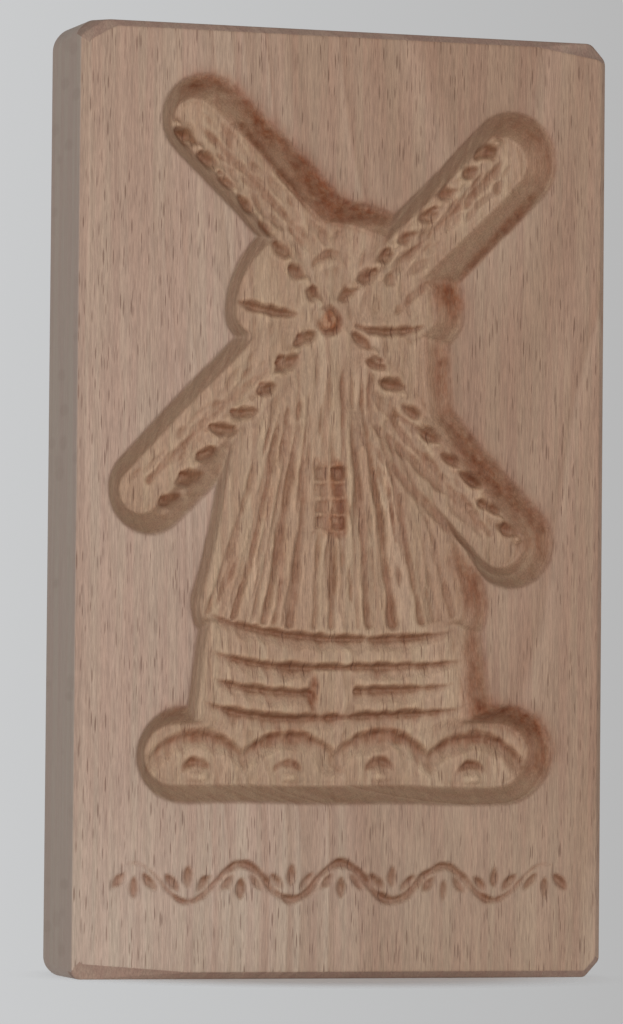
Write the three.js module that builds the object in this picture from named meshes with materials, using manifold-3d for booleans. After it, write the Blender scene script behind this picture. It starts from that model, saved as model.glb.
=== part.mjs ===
// Speculaas board: a wooden biscuit mould with a windmill cut into its face, from one piece of beech.
// Millimetres. The board stands on its bottom end, with +Z up and its carved face towards -Y.
// The carving is laid out on the face itself: x to the right, y up from the middle of the board, and
// z out of the wood, so that every depth is below zero. The group at the end stands that plane upright.

import * as THREE from 'three';
import { mergeVertices } from 'three/addons/utils/BufferGeometryUtils.js';
import Module from 'manifold-3d';

const wasm = await Module();
wasm.setup();

// Blank
const BOARD_WIDTH = 130;
const BOARD_HEIGHT = 220;
const BOARD_THICKNESS = 25;
const EDGE_BEVEL = 1.7;
const TOP_LEFT_CUT = { width: 7.5, height: 5 };
const TOP_RIGHT_CUT = { width: 3.5, height: 4 };
const BOTTOM_RIGHT_CUT = { width: 3.7, height: 4 };
const BOTTOM_LEFT_CUT = { width: 3.5, height: 5.5 };

// Walls of every recess: a softened lip, then a hollow sweep down to the floor
const LIP_RUN = 1.3;
const LIP_DROP = 1.2;
const SWEEP_RUN = 3.2;
const SWEEP_STEPS = 3;
const ARC_STEPS = 7;

// Floors, below the face
const CAP_DEPTH = 6.5;
const THATCH_DEPTH = 6;
const WALLS_DEPTH = 5.4;
const SAIL_DEPTH = 7.4;
const MOUND_DEPTH = 6.7;

// Hub, and the mill's own middle line, measured from the middle and the bottom end of the board
const HUB_X = -2;
const HUB_HEIGHT = 152.8;
const MILL_X = -0.7;
const HUB_BOSS_RADIUS = 2.4;
const HUB_RING_WIDTH = 1.6;
const HUB_RING_DEPTH = 1;

// Sails. Each trough runs from a root beside the hub to a round tip, which stops short of the nearest
// side of the board, and of its top or of the hub's height. A row of leaf cuts follows its leading edge.
const SAIL_ROOT_RADIUS = 11.3;
const UPPER_LEFT_SAIL = {
  tipRadius: 10.5,
  sideMargin: 19.3,
  aboveHub: 45.2,
  root: [1.6, 11.5],
  firstLeaf: [-4.5, 5.2],
  lastLeaf: [-36, 41.2],
  leaves: 8,
};
const UPPER_RIGHT_SAIL = {
  tipRadius: 11.1,
  sideMargin: 12.8,
  aboveHub: 38.2,
  root: [11.1, 6.5],
  firstLeaf: [5.2, 5.4],
  lastLeaf: [38.8, 40],
  leaves: 8,
};
const LOWER_LEFT_SAIL = {
  tipRadius: 10.6,
  sideMargin: 6.9,
  aboveHub: -40.5,
  root: [-12.6, -8],
  firstLeaf: [-5.6, -5],
  lastLeaf: [-39.6, -43.2],
  leaves: 8,
};
const LOWER_RIGHT_SAIL = {
  tipRadius: 10.8,
  sideMargin: 13.1,
  aboveHub: -51.2,
  root: [8.6, -15],
  firstLeaf: [6.2, -5.8],
  lastLeaf: [43, -48.8],
  leaves: 9,
};
const LEAF_LENGTH = 5;
const LEAF_WIDTH = 2.6;
const LEAF_DEPTH = 1.3;
const LEAF_TILT = THREE.MathUtils.degToRad(23);
const STOCK_WIDTH = 1.5;
const STOCK_DEPTH = 0.5;

// Cap of the mill, behind the hub
const CAP_HALF_WIDTH = 29.4;
const CAP_RISE = 26.5;
const CAP_FALL = 14;
const CAP_CENTRE_ABOVE_HUB = 1;
const LEFT_SILL = { inner: [-8.6, 0.2], bend: [-16, 0.6], outer: [-23.4, 2.2] };
const RIGHT_SILL = { inner: [5.6, -1.5], bend: [14.6, -4.6], outer: [23.6, -1.5] };
const SILL_WIDTH = 2.2;
const SILL_DEPTH = 0.9;
const BROW_RADIUS = 7.5;
const BROW_ABOVE_HUB = 16;
const BROW_OFFSET = 3.4;
const BROW_REACH = THREE.MathUtils.degToRad(55);
const BROW_WIDTH = 1.6;
const BROW_DEPTH = 0.6;

// Thatched body, under the cap
const THATCH_TOP_BELOW_HUB = 4;
const THATCH_TOP_HALF_WIDTH = 25.4;
const THATCH_WAIST_HALF_WIDTH = 29.6;
const THATCH_WAIST_BELOW_HUB = 45;
const SKIRT_HALF_WIDTH = 36.7;
const SKIRT_CORNER_WIDTH = 5.5;
const SKIRT_CORNER_HEIGHT = 9;
const HEM_BELOW_HUB = 74;
const HEM_SAG = 5;
const FLUTE_COUNT = 15;
const FLUTE_WIDTH = 2.4;
const FLUTE_DEPTH = 0.9;
const FLUTE_TOP_BELOW_HUB = 17;
const FLUTE_TOP_SPREAD = 13;
const FLUTE_FOOT_BELOW_HUB = 72.5;
const FLUTE_FOOT_SPREAD = 29.5;

// Window in the thatch
const WINDOW_BELOW_HUB = 42;
const WINDOW_WIDTH = 7.6;
const WINDOW_HEIGHT = 14.5;
const WINDOW_COLUMNS = 2;
const WINDOW_ROWS = 4;
const WINDOW_BAR = 0.8;
const WINDOW_DEPTH = 0.9;

// Boarded walls and door, under the thatch
const WALLS_TOP_HALF_WIDTH = 33.9;
const WALLS_TOP_BELOW_HUB = 67;
const WALLS_FOOT_HALF_WIDTH = 39;
const WALLS_FOOT_BELOW_HUB = 98;
const BOARD_LINES_BELOW_HUB = [74.4, 81.5, 87.6, 93.6];
const BOARD_LINE_HALF_WIDTH = 30.5;
const BOARD_LINE_LIFT = 3.4;
const BOARD_LINE_BEND = 10;
const BOARD_LINE_WIDTH = 1.9;
const BOARD_LINE_DEPTH = 0.9;
const DOOR_WIDTH = 10.4;
const DOOR_HEIGHT = 12;
const DOOR_DEPTH = 1.2;

// Mound under the mill, with scalloped turf
const MOUND_LEFT_MARGIN = 14.3;
const MOUND_RIGHT_MARGIN = 13.1;
const MOUND_BOTTOM_MARGIN = 40.2;
const MOUND_LEFT_RADIUS = 11;
const MOUND_RIGHT_RADIUS = 11.5;
const TURF_COUNT = 4;
const TURF_INSET = 4.8;
const TURF_RADIUS = 14.5;
const TURF_TOP = 15.4;
const TURF_WIDTH = 2.4;
const TURF_DEPTH = 1;
const TUFT_RADIUS = 3.8;
const TUFT_TOP = 9.6;
const TUFT_REACH = THREE.MathUtils.degToRad(75);

// Running vine along the foot of the face
const VINE_SIDE_MARGIN = 8;
const VINE_BOTTOM_MARGIN = 22;
const VINE_WAVES = 4.5;
const VINE_SWING = 4.2;
const VINE_WIDTH = 2;
const VINE_DEPTH = 1.2;
const VINE_STEPS_PER_WAVE = 10;
const VINE_LEAF_LENGTH = 6;
const VINE_LEAF_WIDTH = 2.6;
const VINE_LEAF_DEPTH = 1.2;
const VINE_LEAF_START = 2.6;
const VINE_LEAF_FAN = THREE.MathUtils.degToRad(42);

// How far a cutting shape stands clear of the wood that it cuts
const CLEAR = 0.6;

const LEFT = -BOARD_WIDTH / 2;
const RIGHT = BOARD_WIDTH / 2;
const TOP = BOARD_HEIGHT / 2;
const BOTTOM = -BOARD_HEIGHT / 2;
const hub = new THREE.Vector2(HUB_X, BOTTOM + HUB_HEIGHT);

// Solids and cuts

// A closed geometry as a solid that can be joined and cut
function solid(geometry) {
  geometry.deleteAttribute('normal');
  geometry.deleteAttribute('uv');
  const shared = mergeVertices(geometry);
  return new wasm.Manifold(new wasm.Mesh({
    numProp: 3,
    vertProperties: new Float32Array(shared.attributes.position.array),
    triVerts: new Uint32Array(shared.index.array),
  }));
}

// A solid as a geometry that a mesh can show
function shown(cutSolid) {
  const mesh = cutSolid.getMesh();
  const geometry = new THREE.BufferGeometry();
  geometry.setAttribute('position', new THREE.BufferAttribute(mesh.vertProperties, 3));
  geometry.setIndex(new THREE.BufferAttribute(mesh.triVerts, 1));
  geometry.computeVertexNormals();
  return geometry;
}

// An outline sunk into the face with a wall that slopes in from `inset` to `inset + run` over its depth
function slopingCut(shape, depth, run, inset, steps) {
  return solid(new THREE.ExtrudeGeometry(shape, {
    depth: CLEAR,
    curveSegments: ARC_STEPS,
    bevelThickness: depth,
    bevelSize: run,
    bevelOffset: -run - inset,
    bevelSegments: steps,
  }));
}

// A recess: its outline is the edge that shows on the face
function recess(shape, depth) {
  const lip = slopingCut(shape, LIP_DROP, LIP_RUN, 0, 1);
  const sweep = slopingCut(shape, depth, SWEEP_RUN, LIP_RUN / 2, SWEEP_STEPS);
  return lip.add(sweep);
}

// How deep a gouge goes along its path, from 0 at the start to 1 at the end
const leafCut = (t) => 4 * t * (1 - t);
const fadingIn = (t) => Math.min(1, 3 * t);
const drawnOut = (t) => Math.min(1, 8 * t, 8 * (1 - t));

// A V-shaped cut along a path on a floor. Its sides slope alike all along, so that it is narrower
// wherever it is shallower.
function gouge(path, width, depth, floor, pressure) {
  const slope = width / 2 / depth;
  const top = CLEAR - floor;
  const positions = [];
  const triangles = [];
  path.forEach((point, i) => {
    const before = path[Math.max(i - 1, 0)];
    const after = path[Math.min(i + 1, path.length - 1)];
    const across = new THREE.Vector2(before.y - after.y, after.x - before.x).normalize();
    const bottom = -floor - depth * pressure(i / (path.length - 1));
    const half = (top - bottom) * slope;
    positions.push(point.x + across.x * half, point.y + across.y * half, top);
    positions.push(point.x - across.x * half, point.y - across.y * half, top);
    positions.push(point.x, point.y, bottom);
    if (i > 0) {
      const [l0, r0, b0, l1, r1, b1] = [-3, -2, -1, 0, 1, 2].map((step) => 3 * i + step);
      triangles.push(l0, r0, r1, l0, r1, l1);
      triangles.push(l0, l1, b1, l0, b1, b0);
      triangles.push(r0, b0, b1, r0, b1, r1);
    }
  });
  const last = 3 * (path.length - 1);
  triangles.push(0, 2, 1, last, last + 1, last + 2);
  const geometry = new THREE.BufferGeometry();
  geometry.setAttribute('position', new THREE.Float32BufferAttribute(positions, 3));
  geometry.setIndex(triangles);
  return solid(geometry);
}

// A leaf-shaped nick, centred on a point
function leaf(centre, angle, length, width, depth, floor) {
  const half = new THREE.Vector2(length / 2, 0).rotateAround(new THREE.Vector2(), angle);
  return gouge([centre.clone().sub(half), centre, centre.clone().add(half)], width, depth, floor, leafCut);
}

// A box cut between two corners, from just above a floor to some depth below it
function pocket(left, right, bottom, top, depth, floor) {
  const box = new THREE.BoxGeometry(right - left, top - bottom, depth + CLEAR);
  box.translate((left + right) / 2, (bottom + top) / 2, -floor + (CLEAR - depth) / 2);
  return solid(box);
}

// An outline round two circles of different size
function roundEnded(start, startRadius, end, endRadius) {
  const along = end.clone().sub(start);
  const heading = along.angle();
  const side = Math.acos((startRadius - endRadius) / along.length());
  const shape = new THREE.Shape();
  shape.absarc(end.x, end.y, endRadius, heading - side, heading + side);
  shape.absarc(start.x, start.y, startRadius, heading + side, heading - side + 2 * Math.PI);
  return shape;
}

// Blank with sawn corners and bevelled edges
function blank() {
  const outline = new THREE.Shape([
    new THREE.Vector2(LEFT + BOTTOM_LEFT_CUT.width, BOTTOM),
    new THREE.Vector2(RIGHT - BOTTOM_RIGHT_CUT.width, BOTTOM),
    new THREE.Vector2(RIGHT, BOTTOM + BOTTOM_RIGHT_CUT.height),
    new THREE.Vector2(RIGHT, TOP - TOP_RIGHT_CUT.height),
    new THREE.Vector2(RIGHT - TOP_RIGHT_CUT.width, TOP),
    new THREE.Vector2(LEFT + TOP_LEFT_CUT.width, TOP),
    new THREE.Vector2(LEFT, TOP - TOP_LEFT_CUT.height),
    new THREE.Vector2(LEFT, BOTTOM + BOTTOM_LEFT_CUT.height),
  ]);
  const geometry = new THREE.ExtrudeGeometry(outline, {
    depth: BOARD_THICKNESS - 2 * EDGE_BEVEL,
    bevelThickness: EDGE_BEVEL,
    bevelSize: EDGE_BEVEL,
    bevelOffset: -EDGE_BEVEL,
    bevelSegments: 1,
  });
  geometry.translate(0, 0, EDGE_BEVEL - BOARD_THICKNESS);
  return solid(geometry);
}

// One sail: its trough, the row of leaf cuts along the whip, and a faint line down the cloth
function sail(size, side) {
  const edge = side < 0 ? LEFT : RIGHT;
  const tip = new THREE.Vector2(edge - side * (size.sideMargin + size.tipRadius), hub.y + size.aboveHub);
  const root = hub.clone().add(new THREE.Vector2(...size.root));
  const cuts = [recess(roundEnded(root, SAIL_ROOT_RADIUS, tip, size.tipRadius), SAIL_DEPTH)];
  const first = hub.clone().add(new THREE.Vector2(...size.firstLeaf));
  const last = hub.clone().add(new THREE.Vector2(...size.lastLeaf));
  const towardsLevel = -side * Math.sign(size.aboveHub) * LEAF_TILT;
  const lie = last.clone().sub(first).angle() + towardsLevel;
  for (let i = 0; i < size.leaves; i++) {
    const centre = first.clone().lerp(last, i / (size.leaves - 1));
    cuts.push(leaf(centre, lie, LEAF_LENGTH, LEAF_WIDTH, LEAF_DEPTH, SAIL_DEPTH));
  }
  cuts.push(gouge([root, tip], STOCK_WIDTH, STOCK_DEPTH, SAIL_DEPTH, fadingIn));
  return cuts;
}

// The boss that the sails turn on, left standing inside a ring
function hubRing() {
  const outer = HUB_BOSS_RADIUS + HUB_RING_WIDTH;
  const middle = HUB_BOSS_RADIUS + HUB_RING_WIDTH / 2;
  const geometry = new THREE.LatheGeometry([
    new THREE.Vector2(HUB_BOSS_RADIUS, CLEAR),
    new THREE.Vector2(middle, -HUB_RING_DEPTH),
    new THREE.Vector2(outer, CLEAR),
    new THREE.Vector2(HUB_BOSS_RADIUS, CLEAR),
  ], 2 * ARC_STEPS);
  geometry.rotateX(Math.PI / 2);
  geometry.translate(hub.x, hub.y, -SAIL_DEPTH);
  return solid(geometry);
}

// The cap: a dome whose lower edge pulls in again, a sill line to each side of the hub, and a brow over it
function cap() {
  const y = hub.y + CAP_CENTRE_ABOVE_HUB;
  const outline = new THREE.Shape();
  outline.absellipse(MILL_X, y, CAP_HALF_WIDTH, CAP_RISE, 0, Math.PI);
  outline.absellipse(MILL_X, y, CAP_HALF_WIDTH, CAP_FALL, Math.PI, 2 * Math.PI);
  const cuts = [recess(outline, CAP_DEPTH)];
  for (const { inner, bend, outer } of [LEFT_SILL, RIGHT_SILL]) {
    const places = [inner, bend, outer].map(([x, y]) => new THREE.Vector2(hub.x + x, hub.y + y));
    const line = new THREE.QuadraticBezierCurve(...places).getPoints(ARC_STEPS);
    cuts.push(gouge(line, SILL_WIDTH, SILL_DEPTH, CAP_DEPTH, drawnOut));
  }
  const brow = arc(hub.x + BROW_OFFSET, hub.y + BROW_ABOVE_HUB, BROW_RADIUS, BROW_REACH);
  cuts.push(gouge(brow, BROW_WIDTH, BROW_DEPTH, CAP_DEPTH, drawnOut));
  return cuts;
}

// The thatched body: it widens into a skirt with round corners and a sagging hem
function thatch() {
  const top = hub.y - THATCH_TOP_BELOW_HUB;
  const waist = hub.y - THATCH_WAIST_BELOW_HUB;
  const hem = hub.y - HEM_BELOW_HUB;
  const skirt = hem + SKIRT_CORNER_HEIGHT;
  const hemHalf = SKIRT_HALF_WIDTH - SKIRT_CORNER_WIDTH;
  const outline = new THREE.Shape();
  const left = (halfWidth) => MILL_X - halfWidth;
  const right = (halfWidth) => MILL_X + halfWidth;
  outline.moveTo(right(THATCH_TOP_HALF_WIDTH), top);
  outline.lineTo(left(THATCH_TOP_HALF_WIDTH), top);
  outline.quadraticCurveTo(left(THATCH_WAIST_HALF_WIDTH), waist, left(SKIRT_HALF_WIDTH), skirt);
  outline.quadraticCurveTo(left(SKIRT_HALF_WIDTH), hem, left(hemHalf), hem);
  outline.quadraticCurveTo(MILL_X, hem - 2 * HEM_SAG, right(hemHalf), hem);
  outline.quadraticCurveTo(right(SKIRT_HALF_WIDTH), hem, right(SKIRT_HALF_WIDTH), skirt);
  outline.quadraticCurveTo(right(THATCH_WAIST_HALF_WIDTH), waist, right(THATCH_TOP_HALF_WIDTH), top);
  const cuts = [recess(outline, THATCH_DEPTH)];
  for (let i = 0; i < FLUTE_COUNT; i++) {
    const share = 2 * i / (FLUTE_COUNT - 1) - 1;
    const from = new THREE.Vector2(MILL_X + share * FLUTE_TOP_SPREAD, hub.y - FLUTE_TOP_BELOW_HUB);
    const to = new THREE.Vector2(MILL_X + share * FLUTE_FOOT_SPREAD, hub.y - FLUTE_FOOT_BELOW_HUB);
    const line = [from, from.clone().lerp(to, 1 / 3), to];
    cuts.push(gouge(line, FLUTE_WIDTH, FLUTE_DEPTH, THATCH_DEPTH, fadingIn));
  }
  return cuts;
}

// The window: panes cut between thin bars
function windowPanes() {
  const paneWidth = (WINDOW_WIDTH + WINDOW_BAR) / WINDOW_COLUMNS - WINDOW_BAR;
  const paneHeight = (WINDOW_HEIGHT + WINDOW_BAR) / WINDOW_ROWS - WINDOW_BAR;
  const cuts = [];
  for (let column = 0; column < WINDOW_COLUMNS; column++) {
    for (let row = 0; row < WINDOW_ROWS; row++) {
      const left = hub.x - WINDOW_WIDTH / 2 + column * (paneWidth + WINDOW_BAR);
      const bottom = hub.y - WINDOW_BELOW_HUB - WINDOW_HEIGHT / 2 + row * (paneHeight + WINDOW_BAR);
      cuts.push(pocket(left, left + paneWidth, bottom, bottom + paneHeight, WINDOW_DEPTH, THATCH_DEPTH));
    }
  }
  return cuts;
}

// The boarded walls: a recess that widens to its foot, lines that sag like the hem, and the door
function walls() {
  const top = hub.y - WALLS_TOP_BELOW_HUB;
  const foot = hub.y - WALLS_FOOT_BELOW_HUB;
  const outline = new THREE.Shape([
    new THREE.Vector2(MILL_X + WALLS_TOP_HALF_WIDTH, top),
    new THREE.Vector2(MILL_X - WALLS_TOP_HALF_WIDTH, top),
    new THREE.Vector2(MILL_X - WALLS_FOOT_HALF_WIDTH, foot),
    new THREE.Vector2(MILL_X + WALLS_FOOT_HALF_WIDTH, foot),
  ]);
  const cuts = [recess(outline, WALLS_DEPTH)];
  for (const below of BOARD_LINES_BELOW_HUB) {
    const y = hub.y - below;
    const bend = BOARD_LINE_HALF_WIDTH - BOARD_LINE_BEND;
    const line = new THREE.CubicBezierCurve(
      new THREE.Vector2(MILL_X - BOARD_LINE_HALF_WIDTH, y + BOARD_LINE_LIFT),
      new THREE.Vector2(MILL_X - bend, y - BOARD_LINE_LIFT / 3),
      new THREE.Vector2(MILL_X + bend, y - BOARD_LINE_LIFT / 3),
      new THREE.Vector2(MILL_X + BOARD_LINE_HALF_WIDTH, y + BOARD_LINE_LIFT),
    ).getPoints(2 * ARC_STEPS);
    cuts.push(gouge(line, BOARD_LINE_WIDTH, BOARD_LINE_DEPTH, WALLS_DEPTH, drawnOut));
  }
  const sill = hub.y - BOARD_LINES_BELOW_HUB.at(-1);
  const jamb = MILL_X - DOOR_WIDTH / 2;
  cuts.push(pocket(jamb, jamb + DOOR_WIDTH, sill, sill + DOOR_HEIGHT, DOOR_DEPTH, WALLS_DEPTH));
  return cuts;
}

// The mound: a long recess with round ends, and a row of scallops with a tuft in each
function mound() {
  const left = LEFT + MOUND_LEFT_MARGIN + MOUND_LEFT_RADIUS;
  const right = RIGHT - MOUND_RIGHT_MARGIN - MOUND_RIGHT_RADIUS;
  const foot = BOTTOM + MOUND_BOTTOM_MARGIN;
  const outline = roundEnded(
    new THREE.Vector2(left, foot + MOUND_LEFT_RADIUS),
    MOUND_LEFT_RADIUS,
    new THREE.Vector2(right, foot + MOUND_RIGHT_RADIUS),
    MOUND_RIGHT_RADIUS,
  );
  const cuts = [recess(outline, MOUND_DEPTH)];
  const turfLeft = LEFT + MOUND_LEFT_MARGIN + TURF_INSET;
  const turfRight = RIGHT - MOUND_RIGHT_MARGIN - TURF_INSET;
  const spacing = (turfRight - turfLeft) / TURF_COUNT;
  const reach = Math.asin(spacing / 2 / TURF_RADIUS);
  for (let i = 0; i < TURF_COUNT; i++) {
    const x = turfLeft + (i + 0.5) * spacing;
    const turf = arc(x, foot + TURF_TOP, TURF_RADIUS, reach);
    const tuft = arc(x, foot + TUFT_TOP, TUFT_RADIUS, TUFT_REACH);
    cuts.push(gouge(turf, TURF_WIDTH, TURF_DEPTH, MOUND_DEPTH, drawnOut));
    cuts.push(gouge(tuft, TURF_WIDTH, TURF_DEPTH, MOUND_DEPTH, leafCut));
  }
  return cuts;
}

// Points of an arc that is highest at x, y and reaches down to both sides
function arc(x, y, radius, reach) {
  const curve = new THREE.EllipseCurve(
    x, y - radius, radius, radius, Math.PI / 2 + reach, Math.PI / 2 - reach, true,
  );
  return curve.getPoints(ARC_STEPS + 1);
}

// The vine: a wavy stem with three small leaves in every hollow
function vine() {
  const left = LEFT + VINE_SIDE_MARGIN;
  const length = RIGHT - VINE_SIDE_MARGIN - left;
  const y = BOTTOM + VINE_BOTTOM_MARGIN;
  const stemPoint = (wave) => new THREE.Vector2(
    left + length * wave / VINE_WAVES,
    y + VINE_SWING * Math.sin(2 * Math.PI * wave),
  );
  const stem = [];
  for (let i = 0; i <= VINE_WAVES * VINE_STEPS_PER_WAVE; i++) {
    stem.push(stemPoint(i / VINE_STEPS_PER_WAVE));
  }
  const cuts = [gouge(stem, VINE_WIDTH, VINE_DEPTH, 0, drawnOut)];
  for (let i = 0; i < 2 * VINE_WAVES; i++) {
    const crest = stemPoint((i + 0.5) / 2);
    const inward = crest.y > y ? -Math.PI / 2 : Math.PI / 2;
    for (const turn of [-VINE_LEAF_FAN, 0, VINE_LEAF_FAN]) {
      const reach = VINE_LEAF_START + VINE_LEAF_LENGTH / 2;
      const offset = new THREE.Vector2(reach, 0).rotateAround(new THREE.Vector2(), inward + turn);
      const centre = crest.clone().add(offset);
      cuts.push(leaf(centre, inward + turn, VINE_LEAF_LENGTH, VINE_LEAF_WIDTH, VINE_LEAF_DEPTH, 0));
    }
  }
  return cuts;
}

// Board
function board() {
  const cuts = [
    ...sail(UPPER_LEFT_SAIL, -1),
    ...sail(UPPER_RIGHT_SAIL, 1),
    ...sail(LOWER_LEFT_SAIL, -1),
    ...sail(LOWER_RIGHT_SAIL, 1),
    hubRing(),
    ...cap(),
    ...thatch(),
    ...windowPanes(),
    ...walls(),
    ...mound(),
    ...vine(),
  ];
  const carving = cuts.reduce((sum, cut) => sum.add(cut));
  const beech = new THREE.MeshStandardMaterial({ color: 0xac9482, roughness: 0.62, metalness: 0 });
  const mesh = new THREE.Mesh(shown(blank().subtract(carving)), beech);
  mesh.name = 'board';
  return mesh;
}

const speculaasBoard = new THREE.Group();
const face = new THREE.Group();
face.rotation.x = Math.PI / 2;
face.position.set(0, -BOARD_THICKNESS / 2, BOARD_HEIGHT / 2);
face.add(board());
speculaasBoard.add(face);

export default speculaasBoard;
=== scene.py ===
"""A speculaas board: a windmill carved into one plank of beech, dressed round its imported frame.

Lengths are millimetres, but metres in the frame and where a name ends in _m. The carving is laid out on
the face of the board: x to the right, y up from its middle, and depths into the wood. BoardMesh stands
that plane upright.
"""

import logging
import math
from dataclasses import dataclass, replace
from enum import Enum
from typing import Optional, Union

import bpy
import numpy as np
from mathutils import Matrix, Vector


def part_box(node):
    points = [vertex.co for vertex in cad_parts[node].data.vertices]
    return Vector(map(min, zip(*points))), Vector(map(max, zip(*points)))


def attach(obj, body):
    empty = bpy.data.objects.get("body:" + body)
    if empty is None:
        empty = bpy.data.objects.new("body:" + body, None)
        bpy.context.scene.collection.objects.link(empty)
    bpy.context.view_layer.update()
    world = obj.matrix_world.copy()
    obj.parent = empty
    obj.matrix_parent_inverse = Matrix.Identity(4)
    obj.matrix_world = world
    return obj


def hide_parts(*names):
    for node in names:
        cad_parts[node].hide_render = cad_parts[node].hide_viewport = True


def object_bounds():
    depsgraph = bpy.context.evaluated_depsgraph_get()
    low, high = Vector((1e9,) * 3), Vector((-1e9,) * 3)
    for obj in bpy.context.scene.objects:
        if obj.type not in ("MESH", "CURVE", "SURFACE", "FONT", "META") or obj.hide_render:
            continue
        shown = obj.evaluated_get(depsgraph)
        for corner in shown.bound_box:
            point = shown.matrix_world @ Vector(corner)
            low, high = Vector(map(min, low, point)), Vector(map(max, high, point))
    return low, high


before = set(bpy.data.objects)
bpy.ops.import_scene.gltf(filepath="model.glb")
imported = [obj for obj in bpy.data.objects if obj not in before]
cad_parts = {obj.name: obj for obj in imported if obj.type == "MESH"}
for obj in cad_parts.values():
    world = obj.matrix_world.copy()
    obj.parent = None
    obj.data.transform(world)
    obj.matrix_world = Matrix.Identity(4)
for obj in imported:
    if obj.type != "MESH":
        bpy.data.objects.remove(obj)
CAD_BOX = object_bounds()

MM = 0.001
ALONG_GRAIN = 90.0
log = logging.getLogger("speculaas_board")

Point = tuple[float, float]
Place = tuple[float, float, float]
Colour = tuple[float, float, float]
Array = np.ndarray
Socket = bpy.types.NodeSocket
Feed = Union[Socket, float, Colour]


def srgb(red: int, green: int, blue: int) -> Colour:
    """A colour that is given as a screen shows it.

    Args:
        red, green, blue: its values on a screen, 0 to 255.

    Returns:
        The linear values that shaders take.
    """
    shares = [value / 255 for value in (red, green, blue)]
    linear = [s / 12.92 if s <= 0.04045 else ((s + 0.055) / 1.055) ** 2.4 for s in shares]
    return linear[0], linear[1], linear[2]


def face_middle() -> Place:
    """The middle of the carved face in the frame, in metres."""
    low, high = CAD_BOX
    return (low[0] + high[0]) / 2, low[1], (low[2] + high[2]) / 2


def linked(name: str, data: bpy.types.ID) -> bpy.types.Object:
    """Adds an object to the scene.

    Args:
        name: of the object.
        data: its mesh, camera or lamp.

    Returns:
        The object.
    """
    added = bpy.data.objects.new(name, data)
    bpy.context.scene.collection.objects.link(added)
    return added


# Laying out


@dataclass(frozen=True)
class Corner:
    """How much of one corner is sawn off, across and along the board, and how round it is left.

    Attributes:
        face, side, back: the cut at the face, on the side, and at the back.
        softness: how far its rounding reaches along the sides at the face and at the back.
        facet: how far behind the face the cut becomes that of the side.
    """

    face: Point
    side: Point
    back: Point
    softness: Point = (0.8, 1.2)
    facet: float = 1.7


@dataclass(frozen=True)
class Blank:
    """The planed plank before it is carved.

    Attributes:
        bevel: width of the flat bevel on every edge.
        arris: how far the small rounding between two flats reaches.
        side_rings: how far behind the face the sides have rings of points before their middle.
        corners: the sawn corners, counterclockwise from the bottom right one.
        corner_steps, most_softness: steps of their rounding, and the share of a side it may take up.
    """

    width: float
    height: float
    thickness: float
    bevel: float = 1.7
    arris: float = 0.12
    side_rings: Point = (3.3, 5.0)
    corners: tuple[Corner, Corner, Corner, Corner] = (
        Corner((3.7, 4.0), (3.7, 4.0), (3.7, 4.0)),
        Corner((19.0, 2.6), (3.7, 4.0), (3.7, 4.0), (1.2, 1.2)),
        Corner((7.8, 4.4), (3.0, 2.8), (3.2, 3.6), (1.2, 2.3), facet=5.0),
        Corner((30.0, 2.2), (1.2, 1.6), (2.9, 2.9), (0.9, 2.0)),
    )
    corner_steps: int = 6
    most_softness: float = 0.48

    @classmethod
    def from_frame(cls) -> "Blank":
        """Reads the blank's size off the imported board's box.

        Returns:
            The blank that fills it.
        """
        low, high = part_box("board")
        width, thickness, height = ((b - a) / MM for a, b in zip(low, high))
        return cls(width, height, thickness)

    def outline(self, inset: float, behind: float) -> Array:
        """The board's outline at one depth.

        Args:
            inset: how far it is drawn in from the sides.
            behind: how far it lies behind the face.

        Returns:
            Its points, counterclockwise.
        """
        half_x, half_y = self.width / 2, self.height / 2
        right_low, right_high, left_high, left_low = (self.cut_at(corner, behind) for corner in self.corners)
        sharp = np.array([
            (half_x - right_low[0], -half_y), (half_x, -half_y + right_low[1]),
            (half_x, half_y - right_high[1]), (half_x - right_high[0], half_y),
            (-half_x + left_high[0], half_y), (-half_x, half_y - left_high[1]),
            (-half_x, -half_y + left_low[1]), (-half_x + left_low[0], -half_y),
        ])
        sharp = drawn_in(sharp, inset)
        depths = (0, self.thickness)
        soft = [np.interp(behind, depths, corner.softness) for corner in self.corners for _ in range(2)]
        points = []
        for before, corner, after, reach in zip(np.roll(sharp, 1, 0), sharp, np.roll(sharp, -1, 0), soft):
            lengths = [float(np.linalg.norm(end - corner)) for end in (before, after)]
            reach = min(reach, self.most_softness * min(lengths))
            back = (before - corner) / lengths[0] * reach
            ahead = (after - corner) / lengths[1] * reach
            for t in np.linspace(0, 1, self.corner_steps + 1):
                points.append(corner + back * (1 - t) ** 2 + ahead * t ** 2)
        return np.array(points)

    def cut_at(self, corner: Corner, behind: float) -> Array:
        """How much of a corner is sawn off at one depth.

        Args:
            corner: which one.
            behind: how far behind the face.

        Returns:
            The cut, across and along the board.
        """
        facet = corner.facet
        if behind < facet:
            near, far, share = corner.face, corner.side, behind / facet
        else:
            near, far, share = corner.side, corner.back, (behind - facet) / (self.thickness - facet)
        return np.array(near) * (1 - share) + np.array(far) * share

    def profile(self) -> list[Point]:
        """The rings of points round the board, from the face to the back.

        Returns:
            Each ring's inset and its distance behind the face: two on the face's flat, two at each end of
            the bevel, three down the side, and the same again at the back.
        """
        bevel, arris = self.bevel, self.arris
        flat = [(bevel + 4 * arris, 0.0), (bevel + arris, 0.0)]
        slope = [(bevel - step * arris, step * arris) for step in (1, 3)]
        near = flat + slope + [(b, a) for a, b in reversed(slope)] + [(b, a) for a, b in reversed(flat)]
        between = [(0.0, behind) for behind in (*self.side_rings, self.thickness / 2)]
        return near + between + [(inset, self.thickness - behind) for inset, behind in reversed(near)]


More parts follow.
